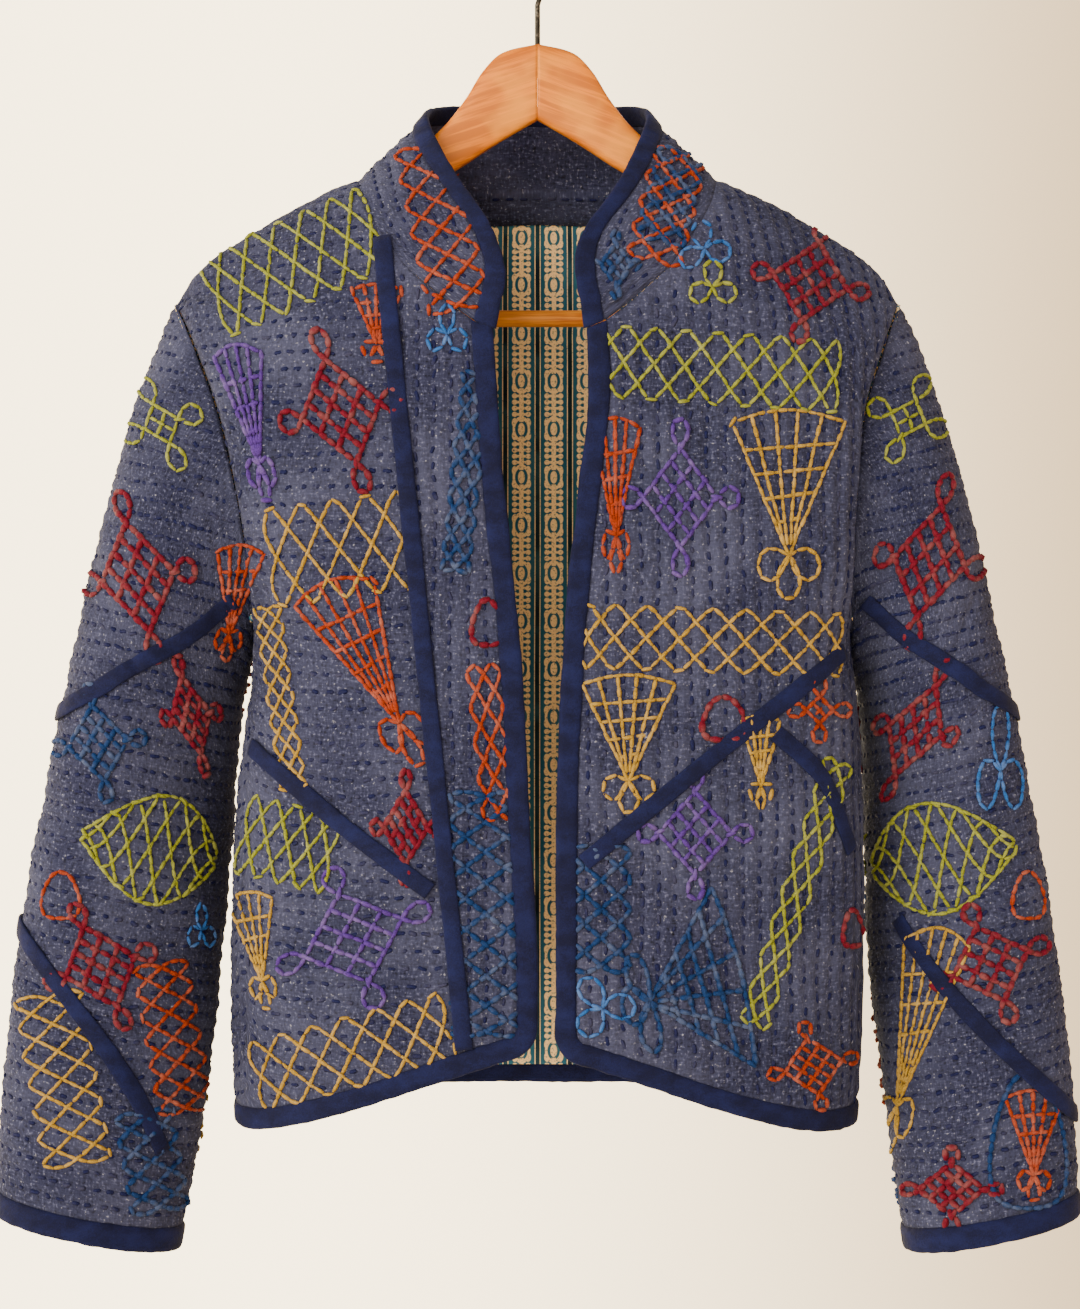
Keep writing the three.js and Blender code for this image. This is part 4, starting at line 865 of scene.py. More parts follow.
def surface_mesh(name: str, points: Array, flat: Array | None = None, outward: Array | None = None,
                 ring: bool = False, loop: bool = False, capped: bool = False) -> Mesh:
    """A grid laid over rows and columns of places.

    Args:
        name: The mesh's name.
        points: Rows and columns of places; a ring's last column repeats the first.
        flat: Where each place lies on the flat cloth, in millimetres.
        outward: Outward normals; without them the mesh is closed and turned outwards as a whole.
        ring: Whether the last column closes on the first.
        loop: Whether the last row closes on the first.
        capped: Whether the open ends are filled.
    Returns:
        The mesh.
    """
    rows, columns = points.shape[0] - 1, points.shape[1] - 1
    shaped = bmesh.new()
    bmesh.ops.create_grid(shaped, x_segments=columns, y_segments=rows, size=1.0)
    where = [(round((v.co.y + 1) / 2 * rows), round((v.co.x + 1) / 2 * columns)) for v in shaped.verts]
    if flat is not None:
        layer = shaped.loops.layers.uv.new(UV_NAME)
        metres = flat * MM
        for face in shaped.faces:
            for corner in face.loops:
                corner[layer].uv = metres[where[corner.vert.index]]
    for vertex, at in zip(shaped.verts, where):
        vertex.co = points[at]
    if outward is not None:
        wide, down = np.gradient(points, axis=1), np.gradient(points, axis=0)
        if (np.cross(wide, down) * outward).sum() < 0:
            bmesh.ops.reverse_faces(shaped, faces=shaped.faces[:])
    if ring or loop:
        bmesh.ops.remove_doubles(shaped, verts=shaped.verts[:], dist=WELD)
    if capped:
        bmesh.ops.holes_fill(shaped, edges=[e for e in shaped.edges if e.is_boundary], sides=0)
    if outward is None:
        bmesh.ops.recalc_face_normals(shaped, faces=shaped.faces[:])
    mesh = bpy.data.meshes.new(name)
    shaped.to_mesh(mesh)
    shaped.free()
    return mesh


def thickened(made: Object, thickness: float, inner_slot: int = 0) -> Object:
    """Gives a sheet of cloth its thickness, inwards, in millimetres."""
    wall = made.modifiers.new("thickness", "SOLIDIFY")
    wall.thickness, wall.offset = thickness * MM, -1.0
    wall.material_offset, wall.material_offset_rim = inner_slot, 0
    return made


def copies(name: str, shape: tuple[Array, Array], centres: Array, along: Array, normals: Array,
           sizes: Array) -> Mesh:
    """One mesh that holds many copies of a small shape.

    Args:
        name: The mesh's name.
        shape: The shape's places (across, out, along) and triangles.
        centres: Where each copy lies.
        along: The way each copy runs.
        normals: The way out of the cloth at each copy.
        sizes: Each copy's half width, half height and half length.
    Returns:
        The mesh.
    """
    places, triangles = shape
    along = unit(along - normals * (along * normals).sum(-1, keepdims=True))
    frame = np.stack([np.cross(normals, along), normals, along], 1) * sizes[:, :, None]
    vertices = centres[:, None] + places[None] @ frame
    faces = triangles[None] + (np.arange(len(centres)) * len(places))[:, None, None]
    mesh = bpy.data.meshes.new(name)
    mesh.from_pydata(vertices.reshape(-1, 3).tolist(), [], faces.reshape(-1, 3).tolist())
    return mesh


def bead(around: int, rings: int) -> tuple[Array, Array]:
    """A small round shape along Z with a corner on its upper side, as places and triangles."""
    shaped = bmesh.new()
    bmesh.ops.create_uvsphere(shaped, u_segments=around, v_segments=rings, radius=1.0)
    quarter = Matrix.Rotation(math.pi / 2, 3, "Z")
    bmesh.ops.rotate(shaped, verts=shaped.verts[:], cent=(0, 0, 0), matrix=quarter)
    bmesh.ops.triangulate(shaped, faces=shaped.faces[:])
    places = np.array([v.co for v in shaped.verts])
    triangles = np.array([[v.index for v in face.verts] for face in shaped.faces])
    shaped.free()
    return places, triangles


def running_shape() -> tuple[Array, Array]:
    """A running stitch: a plump short strand."""
    places, triangles = bead(5, 3)
    places[:, 2] = rounded(places[:, 2], 0.62)
    return places, triangles


def chain_shape() -> tuple[Array, Array]:
    """A chain stitch: a loop of two strands with a groove between them, narrow where it starts."""
    places, triangles = bead(5, 4)
    x, y, z = places.T
    ridge = np.where((np.abs(x) < 0.2) & (y > 0) & (np.abs(z) < 0.9), 0.25, 1.0)
    lifted = np.where((np.abs(x) > 0.3) & (y > 0), 1.9, 1.0)
    narrow = 0.84 + 0.16 * np.clip(z + 0.4, 0, 1)
    return np.stack([x * narrow * 1.05, y * ridge * lifted, rounded(z, 0.8) * 1.22], -1), triangles


class Quilting(Enum):
    """Which way a panel's rows of running stitch lie: the flat coordinate that numbers the rows."""

    DOWN = 0
    ACROSS = 1


@dataclass
class Panel:
    """A quilted piece of cloth: its puckered shell, its running stitches and its place in the jacket."""

    name: str
    sheet: Sheet
    quilting: Quilting
    seed: int
    ring: bool = False
    raise_mm: float = 1.0
    dip_mm: float = 1.1
    fine_mm: float = 0.28
    broad_mm: float = 0.45
    edge_dip: float = 0.7
    thickness: float = 2.0

    def phase(self, row: Array) -> Array:
        """Where along its row the first stitch of a row lies, from 0 to 1."""
        return np.mod(np.sin(row * SCATTER + self.seed) * SCATTER_SCALE, 1.0)

    def marks(self) -> Array:
        """The number of the row that each place lies on, with a fraction between rows."""
        wander = ROW_WANDER * Ripple(self.seed, 60)(self.sheet.points)
        return self.sheet.flat[..., self.quilting.value] / STITCH_ROW + wander

    def shell(self) -> Array:
        """The cloth's outer places, puckered by the rows of stitches."""
        other = 1 - self.quilting.value
        row = self.marks()
        nearest = np.round(row)
        away = row - nearest
        along = self.sheet.flat[..., other] / STITCH_PITCH + self.phase(nearest)
        raised = self.raise_mm * (0.5 - 0.5 * np.cos(2 * np.pi * row))
        dips = self.dip_mm * np.exp(-((away / DIP_WIDTH) ** 2)) * (0.5 + 0.5 * np.cos(2 * np.pi * along))
        fine, broad = Ripple(self.seed + 1, 17), Ripple(self.seed + 2, 46)
        uneven = self.fine_mm * fine(self.sheet.points) + self.broad_mm * broad(self.sheet.points)
        fade = border_fade(self.sheet.points, 4, self.ring)
        return self.sheet.moved((raised - dips + uneven) * fade - self.edge_dip * (1 - fade))

    def build(self, finishes: Finishes) -> Object:
        """Makes the cloth, which stands for its CAD node."""
        self.outer = self.shell()
        mesh = surface_mesh(self.name, self.outer, self.sheet.flat, self.sheet.normals, ring=self.ring)
        materials = [finishes.cloth, finishes.lining]
        made = piece(f"cloth_{self.name}", mesh, materials, [self.name])
        return thickened(made, self.thickness, int(self.name != "collar"))

    def rows(self) -> list[tuple[Array, Array, Array, float]]:
        """The rows of stitches: places, normals, the flat coordinate along each, and its number."""
        runs = self.sheet.flat[..., 1 - self.quilting.value]
        grids = [self.marks(), self.outer, self.sheet.normals, runs]
        if self.quilting is Quilting.ACROSS:
            grids = [np.swapaxes(grid, 0, 1) for grid in grids]
        marks = grids[0]
        found = []
        for row in range(math.ceil(marks.min()), math.floor(marks.max()) + 1):
            line = []
            for mark, *values in zip(*grids):
                order = np.argsort(mark)
                if not mark[order[0]] + ROW_MARGIN < row < mark[order[-1]] - ROW_MARGIN:
                    line.append(None)
                    continue
                at = np.interp(row, mark[order], np.arange(len(order)))
                k, w = int(at), at - int(at)
                a, b = order[k], order[min(k + 1, len(order) - 1)]
                line.append([v[a] * (1 - w) + v[b] * w for v in values])
            stretch: list = []
            for entry in [*line, None]:
                if entry is not None:
                    stretch.append(entry)
                    continue
                if len(stretch) > 4:
                    found.append((*[np.array(part) for part in zip(*stretch)], float(row)))
                stretch = []
        return found

    def stitch(self, finishes: Finishes) -> Object:
        """Sews the running stitches."""
        draw = np.random.default_rng(self.seed)
        centres, ways, outs = [], [], []
        for points, normals, run, row in self.rows():
            order = np.argsort(run)
            run, points, normals = run[order], points[order], normals[order]
            shift = float(self.phase(np.array(row)))
            first = math.ceil(run[0] / STITCH_PITCH + shift + 0.3)
            last = math.floor(run[-1] / STITCH_PITCH + shift - 0.3)
            at = (np.arange(first, last + 1) - shift) * STITCH_PITCH
            at = at + draw.normal(0, 0.8, len(at))
            if not len(at):
                continue
            centres.append(read_at(at, run, points))
            ways.append(read_at(at + 2, run, points) - read_at(at - 2, run, points))
            outs.append(unit(read_at(at, run, normals)))
        centre, way, out = np.concatenate(centres), np.concatenate(ways), np.concatenate(outs)
        count = len(centre)
        turned = unit(way) + 0.22 * draw.normal(size=(count, 1)) * np.cross(out, unit(way))
        wide, high, long = (draw.normal(half, spread, count)
                            for half, spread in zip(STITCH_HALF, (0.2, 0.1, 0.6)))
        sizes = np.stack([wide, high, np.clip(long, 1.6, 4.2)], -1)
        mesh = copies(f"running_{self.name}", running_shape(), centre + out * 0.25, turned, out, sizes)
        LOG.info("%s: %d running stitches", self.name, count)
        return piece(f"running_{self.name}", mesh, [finishes.running])


class Pattern:
    """Cuts the jacket's panels."""

    def front_left(self) -> Sheet:
        """The wearer's left front, in one piece."""
        steps, wide = EDGE_STEPS, 12
        outer = FORM.outer_line(1, Face.FRONT, steps)
        neck = FORM.neck_line(1, NECK_ROWS * steps)
        stations = ARMHOLE_ROWS + SIDE_ROWS + 1 - NECK_ROWS
        inner = np.concatenate([neck, FORM.edge_line(1, stations, steps)[1:]])
        turned = FORM.corner(1, 45 + 45 * np.arange(BORDER_STEPS) / BORDER_STEPS)
        start = float(FORM.corner(1, np.array(90.0))[0])
        hem = FORM.hem_line(Face.FRONT, start, float(outer[-1][0]), (LEFT_COLUMNS - 1) * wide)
        bottom = np.concatenate([turned, hem])
        top = FORM.shoulder_line(1, len(bottom) - 1)
        return Sheet.of_body(Face.FRONT, patch(top, bottom, inner, outer))

    def front_right(self) -> Sheet:
        """The outer part of the wearer's right front."""
        steps, wide = 10, 12
        outer = FORM.outer_line(-1, Face.FRONT, steps)
        neck = FORM.neck_line(-1, NECK_ROWS * steps)[:BAND_TOP * steps]
        inner = np.concatenate([neck, FORM.band_seam(steps)])
        bottom = FORM.hem_line(Face.FRONT, BAND_SEAM_BOTTOM_X, float(outer[-1][0]), SHOULDER_COLUMNS * wide)
        top = FORM.shoulder_line(-1, SHOULDER_COLUMNS * wide)
        return Sheet.of_body(Face.FRONT, patch(top, bottom, inner, outer))

    def front_band(self) -> Sheet:
        """The centre band of the wearer's right front."""
        steps, wide = EDGE_STEPS, 8
        seam = FORM.band_seam(steps)
        edge = FORM.edge_line(-1, ARMHOLE_ROWS + SIDE_ROWS + 1 - BAND_TOP, steps)
        top = FORM.neck_line(-1, NECK_ROWS * wide)[BAND_TOP * wide:][::-1]
        turned = FORM.corner(-1, 45 + 45 * np.arange(wide) / wide)
        start = float(FORM.corner(-1, np.array(90.0))[0])
        bottom = np.concatenate([turned, FORM.hem_line(Face.FRONT, start, BAND_SEAM_BOTTOM_X, 2 * wide)])
        return Sheet.of_body(Face.FRONT, patch(top, bottom, edge, seam))

    def back_places(self, steps: int, wide: int) -> Array:
        """The back, as rows and columns of x and height."""
        right, left = (FORM.outer_line(side, Face.BACK, steps) for side in (-1, 1))
        shoulders = [FORM.shoulder_line(side, SHOULDER_COLUMNS * wide) for side in (-1, 1)]
        neck = FORM.back_neck_line(NECK_ROWS * wide)
        top = np.concatenate([shoulders[0][::-1][:-1], neck, shoulders[1][1:]])
        bottom = FORM.hem_line(Face.BACK, float(right[-1][0]), float(left[-1][0]), len(top) - 1)
        return patch(top, bottom, right, left)

    def back(self) -> Sheet:
        """The back."""
        return Sheet.of_body(Face.BACK, self.back_places(10, 8))

    def sleeve(self, side: int) -> Sheet:
        """A sleeve, as rows of rings that start and end under the arm."""
        steps, around = 16, 5
        reads = [Column(SLEEVE, i) for i in range(1, 9)]
        count = 2 * ARMHOLE_ROWS * around
        loops = []
        for face in (Face.FRONT, Face.BACK):
            line = FORM.armhole_line(side, face, ARMHOLE_ROWS * around)
            loops.append(FORM.point(face, line[:, 0], line[:, 1]))
        loop = np.concatenate([loops[0], loops[1][1:-1][::-1]])
        loop = np.roll(loop, -count // 2, axis=0)
        loop = np.concatenate([loop, loop[:1]])
        angle = (2 * np.pi * np.arange(count + 1) / count + np.pi)[None, :]
        t = (SLEEVE_END * np.arange(SLEEVE_ROWS * steps + 1) / (SLEEVE_ROWS * steps))[:, None]
        out_x, out_h, right_x, left_x, in_h, depth, mid, turn = [read(t) for read in reads]
        in_x = right_x if side < 0 else left_x
        dents = np.zeros((t.shape[0], count + 1))
        for at, slant, facing, width, deep in DENTS + SLEEVE_CREASES:
            turned = angle - math.radians(facing)
            away = (t - at - slant * np.sin(turned)) / width
            dents += deep * np.maximum(np.cos(turned), 0) ** 2 * np.exp(-away * away)
        gap_x, gap_h = out_x - in_x, out_h - in_h
        length = np.hypot(gap_x, gap_h)
        reach = (length / 2 - dents) * np.cos(angle)
        x = (out_x + in_x) / 2 + gap_x / length * reach
        h = (out_h + in_h) / 2 + gap_h / length * reach
        y = mid - (depth - dents) * np.sin(angle) + turn * (1 - np.cos(angle)) / 2
        section = np.stack([side * x, y, h - HOOK_REACH], -1)
        blend = (1 - (1 - np.minimum(t / SLEEVE_CAP, 1)) ** 2)[..., None]
        points = loop[None] * (1 - blend) + section * blend
        around_run = travelled(points, 1)
        down_run = travelled(points, 0)
        flat = np.stack([around_run - around_run[:, count // 2:count // 2 + 1], down_run[-1:] - down_run], -1)
        return Sheet.over(points, flat, points - points.mean(1, keepdims=True), ring=True)

    def collar(self) -> tuple[Sheet, Array]:
        """The stand collar, and the direction its upper edge points in."""
        steps, rows, count = 8, 18, 18
        right, left = FORM.neck_line(-1, NECK_ROWS * steps)[::-1], FORM.neck_line(1, NECK_ROWS * steps)
        back = FORM.back_neck_line(NECK_ROWS * steps)[1:-1]
        faces = [(Face.FRONT, right), (Face.BACK, back), (Face.FRONT, left)]
        seam = np.concatenate([FORM.point(face, line[:, 0], line[:, 1]) for face, line in faces])
        station = np.arange(len(seam)) / steps
        side = np.where(station > count / 2, 1, -1)
        at = np.minimum(station, count - station)
        reads = [Column(COLLAR_EDGE, i) for i in (1, 2, 3, 4)]
        def top(where: Array) -> Array:
            """The collar's upper edge at stations from the front end."""
            right_x, left_x, y, h = [read(where) for read in reads]
            return np.stack([side * np.where(side < 0, right_x, left_x), y, h - HOOK_REACH], -1)
        edge = top(np.maximum(at, 1))
        reach = COLLAR_FRONT_WIDTH + EDGE_INSET
        for end, turn in ((0, -1), (-1, 1)):
            out, up = COLLAR_FRONT_END
            start = seam[end] + np.array([-turn * out * reach, 0, up * reach])
            mine = (at < 1) & (side == turn)
            edge[mine] = start + (edge[mine] - start) * at[mine][:, None]
        width = np.linalg.norm(edge - seam, axis=-1)
        share = (np.arange(rows + 1) / rows)[:, None] * (1 - EDGE_INSET / width)[None]
        bulge = COLLAR_BULGE * np.sin(np.pi * share) * np.clip(width / 60, 0, 1)
        away = unit(seam * np.array([1, 1, 0]))
        points = seam + (edge - seam) * share[..., None] + away * bulge[..., None]
        run = travelled(points, 1)
        flat = np.stack([run - run[:, len(seam) // 2][:, None], travelled(points, 0)], -1)
        outward = points * np.array([1, 1, 0]) + np.array([0, 0, 30])
        return Sheet.over(points, flat, outward), unit(edge - seam)

    def lining(self) -> Sheet:
        """The back's inner side, where its lining hangs."""
        return Sheet.of_body(Face.BACK, self.back_places(LINING_STEPS, LINING_STEPS))


@dataclass
class Trim:
    """Navy cotton carried along a path: a binding over an edge, or a flat strip."""

    finishes: Finishes
    proud: float = 1.5
    deep: float = 3.6
    overlap: float = 1.2
    strip_low: float = 0.3
    strip_high: float = 3.1
    pucker: float = 0.22
    wave: float = 0.3

    @staticmethod
    def section(start: float, end: float, low: float, high: float, count: int = 14) -> Array:
        """A rounded flat section, as distances across and out."""
        angle = 2 * np.pi * np.arange(count + 1) / count
        across = (start + end) / 2 + rounded(np.cos(angle), 0.42) * (end - start) / 2
        out = (low + high) / 2 + rounded(np.sin(angle), 0.7) * (high - low) / 2
        return np.stack([across, out], -1)

    def carried(self, name: str, points: Array, normals: Array, across: Array, section: Array, seed: int,
                closed: bool = False) -> Object:
        """Carries a section along a path.

        Args:
            name: The CAD node that the trim stands for.
            points: Places along the path.
            normals: The way out at each place.
            across: The way across at each place.
            section: Distances across and out.
            seed: For the puckers.
            closed: Whether the path closes on itself, with its last place repeating the first.
        Returns:
            The piece.
        """
        wide, out = across[:, None] * section[None, :, :1], normals[:, None] * section[None, :, 1:]
        rows = points[:, None] + wide + out
        swell = self.pucker * Ripple(seed, 9)(rows) + self.wave * Ripple(seed + 1, 60)(rows)
        if closed:
            swell[-1] = swell[0]
        middle = rows[:, :-1].mean(1, keepdims=True)
        rows = rows + unit(rows - middle) * swell[..., None]
        rows[:, -1] = rows[:, 0]
        mesh = surface_mesh(name, rows, ring=True, loop=closed, capped=not closed)
        return piece(f"trim_{name}", mesh, [self.finishes.navy], [name])

    def binding(self, name: str, points: Array, normals: Array, across: Array, seed: int,
                width: float = BINDING_WIDTH, closed: bool = False) -> Object:
        """A binding folded over an edge."""
        section = self.section(-self.overlap, width, -self.deep, self.proud)
        return self.carried(name, points, normals, across, section, seed, closed)

    def strip(self, name: str, points: Array, normals: Array, seed: int) -> Object:
        """A flat strip sewn on a panel."""
        along = np.gradient(points, axis=0)
        across = unit(np.cross(along, normals))
        section = self.section(-STRIP_WIDTH / 2, STRIP_WIDTH / 2, self.strip_low, self.strip_high, 12)
        return self.carried(name, points, normals, across, section, seed)


@dataclass
class Garment:
    """The jacket's panels, trims and sewing."""

    finishes: Finishes

    def build(self) -> None:
        """Cuts and sews every piece of cloth."""
        pattern = Pattern()
        collar, self.collar_up = pattern.collar()
        self.panels = {p.name: p for p in (
            Panel("front_left", pattern.front_left(), Quilting.DOWN, 3),
            Panel("front_right", pattern.front_right(), Quilting.ACROSS, 5),
            Panel("front_band", pattern.front_band(), Quilting.DOWN, 7),
            Panel("back", pattern.back(), Quilting.ACROSS, 11),
            Panel("sleeve_right", pattern.sleeve(-1), Quilting.ACROSS, 13, ring=True),
            Panel("sleeve_left", pattern.sleeve(1), Quilting.ACROSS, 17, ring=True),
            Panel("collar", collar, Quilting.ACROSS, 19),
        )}
        self.cloths = {name: panel.build(self.finishes) for name, panel in self.panels.items()}
        self.sewing = {name: [panel.stitch(self.finishes)] for name, panel in self.panels.items()}
        for name, panel in self.panels.items():
            low, high = panel.sheet.flat.min((0, 1)), panel.sheet.flat.max((0, 1))
            LOG.info("%s: flat %s mm, area %.4f m2", name, np.round(high - low, 0), panel.sheet.area())

    def line(self) -> None:
        """Hangs the printed lining inside the back and the plain facing on it."""
        sheet = Pattern().lining()
        wavy = 0.35 * Ripple(41, 40)(sheet.points) * border_fade(sheet.points, 6)
        mesh = surface_mesh("back_lining", sheet.moved(wavy - LINING_DEPTH), sheet.flat, sheet.normals)
        lining = piece("cloth_back_lining", mesh, [self.finishes.lining], ["back_lining"])
        self.lining = thickened(lining, INNER_THICKNESS)
        shoulder, neck = SHOULDER_COLUMNS * LINING_STEPS, NECK_ROWS * LINING_STEPS
        part = np.s_[:LINING_STEPS + 1, shoulder:shoulder + neck + 1]
        points, normals = sheet.moved(-FACING_DEPTH)[part], sheet.normals[part]
        points[0] += FACING_RISE
        mesh = surface_mesh("neck_facing", points, sheet.flat[part], normals)
        facing = piece("cloth_neck_facing", mesh, [self.finishes.cloth], ["neck_facing"])
        self.facing = thickened(facing, INNER_THICKNESS)
        row = sheet.moved(-FACING_STITCH_DEPTH)[1, shoulder:shoulder + neck + 1]
        run = travelled(row)
        at = np.arange(STITCH_PITCH / 2, run[-1], STITCH_PITCH)
        place, ahead, out = read_at(at, run, row), read_at(at + 2, run, row), read_at(at, run, -normals[1])
        mesh = copies("running_neck_facing", running_shape(), place, ahead - place, unit(out),
                      np.tile(STITCH_HALF, (len(at), 1)))
        self.facing_row = piece("running_neck_facing", mesh, [self.finishes.running])
        LOG.info("lining area %.4f", sheet.area())

    def bind(self) -> None:
        """Binds the edges."""
        trim = Trim(self.finishes)
        self.trims: dict[str, list] = {name: [] for name in self.panels}
        left, band, right = (self.panels[n].sheet for n in ("front_left", "front_band", "front_right"))
        back, collar = self.panels["back"].sheet, self.panels["collar"].sheet
        start = NECK_ROWS * EDGE_STEPS
        paths = {
            1: ((left.points[start:, 0], left.normals[start:, 0]),
                (left.points[-1, 1:], left.normals[-1, 1:])),
            -1: ((band.points[:, 0], band.normals[:, 0]),
                 (np.concatenate([band.points[-1, 1:-1], right.points[-1]]),
                  np.concatenate([band.normals[-1, 1:-1], right.normals[-1]]))),
        }
        for side, (edge, hem) in paths.items():
            points, normals = (np.concatenate(pair) for pair in zip(edge, hem))
            across = unit(np.cross(np.gradient(points, axis=0), normals)) * side
            across[0] = self.collar_up[-1 if side > 0 else 0]
            points[0, 2] -= NECK_CLEARANCE
            across[-1] = (0, 0, -1)
            normals[-1] = unit(normals[-1] * np.array([1, 0, 1]))
            name = f"front_binding_{'left' if side > 0 else 'right'}"
            made = trim.binding(name, points, normals, across, 51 + side)
            self.trims["front_left" if side > 0 else "front_band"].append(made)
        points, normals = back.points[-1], back.normals[-1].copy()
        across = unit(np.cross(np.gradient(points, axis=0), normals))
        across = across * -np.sign(across[:, 2:3])
        across[[0, -1]] = (0, 0, -1)
        self.trims["back"].append(trim.binding("back_hem_binding", points, normals, across, 57))
        made = trim.binding("collar_binding", collar.points[-1], collar.normals[-1], self.collar_up, 59)
        self.trims["collar"].append(made)
        for side in ("right", "left"):
            sleeve = self.panels[f"sleeve_{side}"].sheet
            points, normals = sleeve.points[-1], sleeve.normals[-1]
            across = unit(points - sleeve.points[-4])
            made = trim.binding(f"cuff_binding_{side}", points, normals, across, 61, CUFF_WIDTH, closed=True)
            self.trims[f"sleeve_{side}"].append(made)

    def apply_strips(self) -> None:
        """Sews the navy strips on the fronts and round the sleeves."""
        trim = Trim(self.finishes, pucker=0.16)
        seam = FORM.band_seam(1)
        ends = (tuple(seam[0] - (0, STRIP_INSET)), tuple(seam[-1] + (0, STRIP_INSET)))
        for name, table, owner in (("band_strip_right", ends, "front_band"),
                                   ("diagonal_strip_right", DIAGONAL_STRIP_RIGHT, "front_right"),
                                   ("diagonal_strip_left", DIAGONAL_STRIP_LEFT, "front_left"),
                                   ("side_strip_left", SIDE_STRIP_LEFT, "front_left")):
            keyed = [(i / (len(table) - 1), *row) for i, row in enumerate(table)]
            x, h = Column(keyed, 1), Column(keyed, 2)
            places = FORM.evenly(Face.FRONT, lambda t: np.stack([x(t), h(t)], -1), 90)
            points = FORM.point(Face.FRONT, places[:, 0], places[:, 1])
            wide, tall = (FORM.point(Face.FRONT, *(places + step).T)
                          - FORM.point(Face.FRONT, *(places - step).T) for step in 2 * np.eye(2))
            normals = unit(np.cross(wide, tall))
            normals = normals * np.sign((normals * np.array([0, -1, 0.2])).sum(-1, keepdims=True))
            points = points - normals * (FORM.creases(Face.FRONT, *places.T)[:, None] * STRIP_CREASE)
            self.trims[owner].append(trim.strip(name, points, normals, 71))
        for name, side, outer, front, back in SLEEVE_STRIPS:
            owner = f"sleeve_{'right' if side < 0 else 'left'}"
            sheet = self.panels[owner].sheet
            rows, count = sheet.points.shape[0] - 1, sheet.points.shape[1] - 1
            turn = np.linspace(-1, 1, 145)
            t = outer + (np.where(turn > 0, front, back) - outer) * turn ** 2
            j = np.clip(t / SLEEVE_END * rows, 0, rows)
            k = np.mod(turn * SLEEVE_STRIP_SHARE * count + count / 2, count)
            j0, k0 = np.minimum(j.astype(int), rows - 1), k.astype(int)
            wj, wk = (j - j0)[:, None], (k - k0)[:, None]
            def read(grid: Array) -> Array:
                """A grid's values along the strip."""
                upper = grid[j0, k0] * (1 - wk) + grid[j0, k0 + 1] * wk
                lower = grid[j0 + 1, k0] * (1 - wk) + grid[j0 + 1, k0 + 1] * wk
                return upper * (1 - wj) + lower * wj
            self.trims[owner].append(trim.strip(name, read(sheet.points), unit(read(sheet.normals)), 73))


def bounce(angle: Array, round_off: float = 0.97) -> Array:
    """Runs to and fro between -1 and 1 in straight lines with rounded turns."""
    return np.arcsin(round_off * np.sin(angle)) / math.asin(round_off)


def petal(root: tuple[float, float], degrees: float, length: float) -> Array:
    """A drop-shaped loop that leaves its root along two lines at right angles.

    Args:
        root: Where the loop starts and ends.
        degrees: The way that it points.
        length: How far it reaches.
    Returns:
        Places round the loop.
    """
    angle = np.radians(np.linspace(45, -45, 60))
    reach = length * np.sqrt(np.clip(np.cos(2 * angle), 0, 1))
    turned = angle + math.radians(degrees)
    return np.array(root) + np.stack([reach * np.cos(turned), reach * np.sin(turned)], -1)


def straight(start: tuple[float, float], end: tuple[float, float]) -> Array:
    """A straight stroke."""
    w = np.linspace(0, 1, 40)[:, None]
    return np.array(start) * (1 - w) + np.array(end) * w


EIGHTH_TURN = np.array([[0.7071, 0.7071], [-0.7071, 0.7071]])


def looped_square(lines: int, length: float) -> list[Array]:
    """A lattice in a square that stands on its corner, with a loop at each corner."""
    corners = [(-1, 1), (1, 1), (1, -1), (-1, -1)]
    ring = [petal(at, 135 - 90 * i, length) for i, at in enumerate(corners)]
    strokes = [np.concatenate([*ring, ring[0][:1]])]
    for count, turned in ((lines, False), (max(lines - 1, 1), True)):
        for at in np.linspace(-1, 1, count + 2)[1:-1]:
            stroke = straight((at, -1), (at, 1))
            strokes.append(stroke[:, ::-1] if turned else stroke)
    return [stroke @ EIGHTH_TURN for stroke in strokes]


def fan(lines: int) -> list[Array]:
    """A latticed cone, wide above, that ends below in three loops."""
    apex, wide, high = (0.0, -0.5), 0.86, 1.0
    t = np.linspace(0, 1, 30)[:, None]
    level_arch = np.array([-wide, high]) * (1 - t) + np.array([wide, high]) * t
    arch = level_arch + np.array([0, 0.14]) * np.sin(np.pi * t)
    strokes = [np.concatenate([[apex], arch, [apex]])]
    for i in range(1, lines + 1):
        share = i / (lines + 1)
        top = arch[int(share * 29)]
        strokes.append(straight(tuple(top), (top[0] * 0.12, apex[1] + 0.12)))
        level = high - (high - apex[1]) * share * 0.92
        half = wide * (level - apex[1]) / (high - apex[1])
        strokes.append(straight((-half, level - 0.04), (half, level + 0.04)))
    return strokes + [petal(apex, degrees, 0.48) for degrees in (200, 270, 340)]


